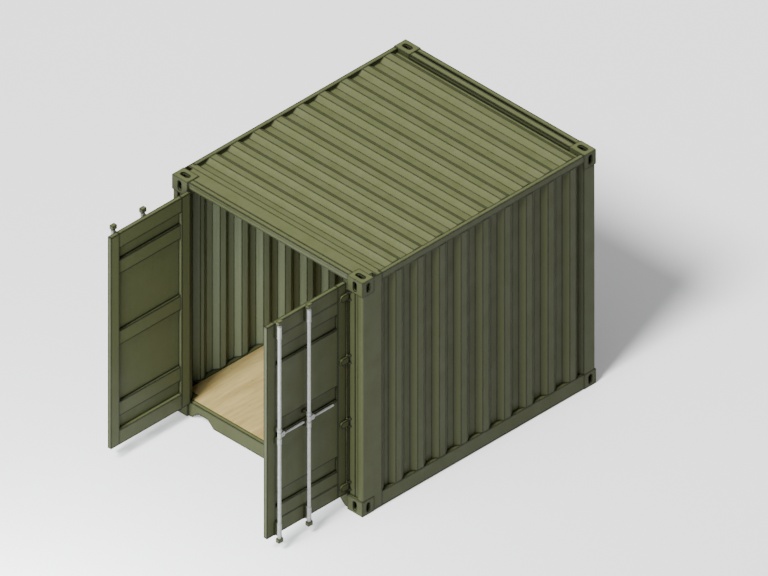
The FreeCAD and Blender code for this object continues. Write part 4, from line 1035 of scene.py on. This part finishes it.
def make_edge_seal(side, sign):
    """Upright lip: SEAL_SHAPE in shares of its width, into the leaf, and of its reach."""
    low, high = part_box(f"door_{side}_stiles")
    face = outer_face(f"door_{side}_stiles", sign)
    outline = np.array([face, high[1]]) + SEAL_SHAPE * (-sign * SEAL_WIDTH, SEAL_REACH)
    levels = np.linspace(low[2] + SEAL_INSET, high[2] - SEAL_INSET, SEAL_RINGS)
    return ringed(f"door_{side}_edge_seal", upright(outline, (0, 0), levels)[None],
                  f"door_{side}", rubber)


for side, sign in SIDES.items():
    make_edge_seal(side, sign)

# %% [markdown]
# ## Welds
# The box is welded all round, and the beads are what draws its outline: dark, rippled
# and a few millimetres wide.  A bump map along the joints could suggest them, but it
# would have no edge of its own against the light.  Along a wall the bead follows the
# folds, so its path comes from the same numbers as the sheet: where the first fold
# starts, how far it runs, and how often it repeats.

# %% Fold lines
WALL_FOLD = 0.040
WALL_SLOPE = 0.062
WALL_CREST = 0.078
WALL_VALLEY = 0.076
ROOF_SLOPE = 0.061
ROOF_CREST = 0.077
ROOF_VALLEY = 0.080
WALL_START = 0.004
SIDE_LEAD = 0.051
REAR_LEAD = 0.088
ROOF_LEAD = 0.100
ROOF_LANDING = 0.073
TINY = 1e-6


def fold_line(start, lead, slope, crest, valley, depth, stop):
    """(along, height) corners of a folded sheet: lead flat, then slope, crest, slope,
    valley again and again, cut off at stop."""
    pitch = np.array([0, slope, slope + crest, 2 * slope + crest])
    period = 2 * slope + crest + valley
    count = int((stop - start) / period) + 2
    along = start + lead + (period * np.arange(count)[:, None] + pitch[None]).ravel()
    height = np.tile([0.0, depth, depth, 0.0], count)
    along = np.concatenate([[start], along])
    height = np.concatenate([[0.0], height])
    inside = along < stop - TINY
    end = np.interp(stop, along, height)
    return np.column_stack([np.append(along[inside], stop), np.append(height[inside], end)])


wall_low, wall_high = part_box("side_wall_right")
rear_low, rear_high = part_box("rear_wall")
roof_low, roof_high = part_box("roof_sheet")
first_crest = [(wall_low[1], WALL_FOLD), (wall_low[1] + WALL_START, WALL_FOLD)]
side_fold = np.vstack([first_crest, fold_line(
    wall_low[1] + WALL_START + WALL_SLOPE, SIDE_LEAD, WALL_SLOPE, WALL_CREST, WALL_VALLEY,
    WALL_FOLD, wall_high[1])])
rear_fold = fold_line(rear_low[0], REAR_LEAD, WALL_SLOPE, WALL_CREST, WALL_VALLEY,
                      WALL_FOLD, rear_high[0])
roof_fold = fold_line(roof_low[1], ROOF_LEAD, ROOF_SLOPE, ROOF_CREST, ROOF_VALLEY,
                      WALL_FOLD, roof_high[1] - ROOF_LANDING)
print("corners along side, rear, roof", len(side_fold), len(rear_fold), len(roof_fold))

# %% Beads along the sheets
BEAD_RADIUS = 0.0032


def side_line(fold, level):
    """Outer line of a side wall at a level."""
    return np.column_stack([wall_high[0] - WALL_FOLD + fold[:, 1], fold[:, 0],
                            np.full(len(fold), level)])


def rear_line(fold, level):
    """Outer line of the rear wall at a level."""
    return np.column_stack([fold[:, 0], rear_high[1] - WALL_FOLD + fold[:, 1],
                            np.full(len(fold), level)])


def roof_line(fold, x):
    """Upper line of the roof sheet beside a top rail."""
    return np.column_stack([np.full(len(fold), x), fold[:, 0],
                            roof_high[2] - WALL_FOLD + fold[:, 1]])


for place, level in (("foot", wall_low[2]), ("head", wall_high[2])):
    bead(f"side_wall_{place}_weld", side_line(side_fold, level), BEAD_RADIUS, (0, 0, 1),
         "container", weld_paint, mirror=True)
    bead(f"rear_wall_{place}_weld", rear_line(rear_fold, level), BEAD_RADIUS, (0, 0, 1),
         "container", weld_paint)
bead("roof_side_weld", roof_line(roof_fold, roof_high[0]), BEAD_RADIUS, (1, 0, 0),
     "container", weld_paint, mirror=True)

# %% [markdown]
# Straight beads join posts to walls, castings to posts, and the header and sill to the
# castings beside them.  Each is a short broken line, drawn on the right and mirrored.

# %% Beads round posts and castings
CASTING_DEEP = 0.151
CASTING_WIDE = 0.196
END_LOW = 0.004
END_HIGH = 0.003

post_low, post_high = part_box("door_post_right")
back_low, back_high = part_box("rear_post_right")
cast_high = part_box("bottom_corner_castings")[1]
top_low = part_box("top_corner_castings")[0]
casting_proud = cast_high[1] - back_high[1]

for name, y in (("door", post_high[1]), ("rear", back_low[1])):
    bead(f"{name}_post_weld", [(post_high[0], y, wall_low[2]),
                               (post_high[0], y, wall_high[2])],
         BEAD_RADIUS, (1, 0, 0), "container", weld_paint, mirror=True)

for place, level in (("bottom", cast_high[2]), ("top", top_low[2])):
    for end, face in (("door", post_low[1]), ("rear", back_high[1])):
        inward = math.copysign(CASTING_DEEP - casting_proud, -face)
        corner = [(cast_high[0] - CASTING_WIDE, face, level), (post_high[0], face, level),
                  (post_high[0], face + inward, level)]
        bead(f"{place}_casting_{end}_weld", corner, BEAD_RADIUS, (0, 0, 1), "container",
             weld_paint, mirror=True)

for name in ("header", "sill"):
    low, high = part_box(f"door_{name}")
    bead(f"door_{name}_end_weld", [(high[0], low[1], low[2] + END_LOW),
                                   (high[0], low[1], high[2] - END_HIGH)],
         BEAD_RADIUS, (1, 0, 0), "container", weld_paint, mirror=True)

# %% [markdown]
# A door panel is welded into its frame from both sides.  The beads along its upright
# edges dip with the pressed grooves, and those along its ends are straight.

# %% Beads round the door panels
PANEL_BEAD = 0.0026
PANEL_SHEET = 0.002
GROOVE_COUNT = 3
GROOVE_MARGIN = 0.142
GROOVE_HIGH = 0.160
GROOVE_SLOPE = 0.003


def panel_profile(low, high):
    """(z, depth) corners of a panel: depth 0 on its flats and full in its grooves."""
    starts = np.linspace(low + GROOVE_MARGIN, high - GROOVE_MARGIN - GROOVE_HIGH,
                         GROOVE_COUNT)
    corners = [[(z, 0.0), (z + GROOVE_SLOPE, GROOVE_DEEP),
                (z + GROOVE_HIGH - GROOVE_SLOPE, GROOVE_DEEP), (z + GROOVE_HIGH, 0.0)]
               for z in starts]
    return np.vstack([[(low, 0.0)], np.concatenate(corners), [(high, 0.0)]])


for side, sign in SIDES.items():
    body = f"door_{side}"
    low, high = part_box(f"{body}_panel")
    outer = outer_face(f"{body}_panel", sign)
    levels, depth = panel_profile(low[2], high[2]).T
    skins = (("panel", outer), ("inner", outer - sign * PANEL_SHEET))
    for edge, y in (("free", low[1]), ("hinge", high[1])):
        for skin, face in skins:
            line = np.column_stack([face - sign * depth, np.full(len(levels), y), levels])
            bead(f"{body}_{skin}_{edge}_weld", line, PANEL_BEAD, (0, 1, 0), body,
                 weld_paint)
    for edge, z in (("upper", high[2]), ("lower", low[2])):
        for skin, face in skins:
            bead(f"{body}_{skin}_{edge}_weld", [(face, low[1], z), (face, high[1], z)],
                 PANEL_BEAD, (0, 0, 1), body, weld_paint)

# %% [markdown]
# ## Floor
# Two boards lie side by side, with a line of filler between them, and countersunk
# screws go down through them into every crossmember.  A screw's head is a very low dome.
# An Array modifier could repeat one screw; a grid of centres does it in one mesh and
# follows the crossmembers wherever they are.

# %% Floor seam and screws
BEAM_COUNT = 9
BEAM_FLANGE = 0.045
SCREWS_ACROSS = 10
SCREW_OUTER = 1.11
SCREW_INNER = 0.05
SCREW_RADIUS = 0.006
SCREW_HEIGHT = 0.0011
SCREW_SUNK = 0.0004
SEAM_HALF = 0.0012
SEAM_INSET = 0.004
SEAM_SUNK = 0.001
SEAM_PROUD = 0.0003

floor_low, floor_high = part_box("floor_boards")
beam_low, beam_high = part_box("crossmembers")
beams = np.linspace(beam_low[1] + BEAM_FLANGE / 2, beam_high[1] - BEAM_FLANGE / 2,
                    BEAM_COUNT)
right_board = np.linspace(SCREW_INNER, SCREW_OUTER, SCREWS_ACROSS // 2)
screw_lines = np.concatenate([-right_board[::-1], right_board])
heads = [(x, y, floor_high[2] - SCREW_SUNK) for y in beams for x in screw_lines]
domes("floor_screws", heads, (0, 0, 1), SCREW_RADIUS, SCREW_HEIGHT, "container",
      forged_zinc)
seam = block(-SEAM_HALF, SEAM_HALF, floor_low[1] + SEAM_INSET, floor_high[1] - SEAM_INSET,
             floor_high[2] - SEAM_SUNK, floor_high[2] + SEAM_PROUD)
ringed("floor_seam", seam[None], "container", board_filler)
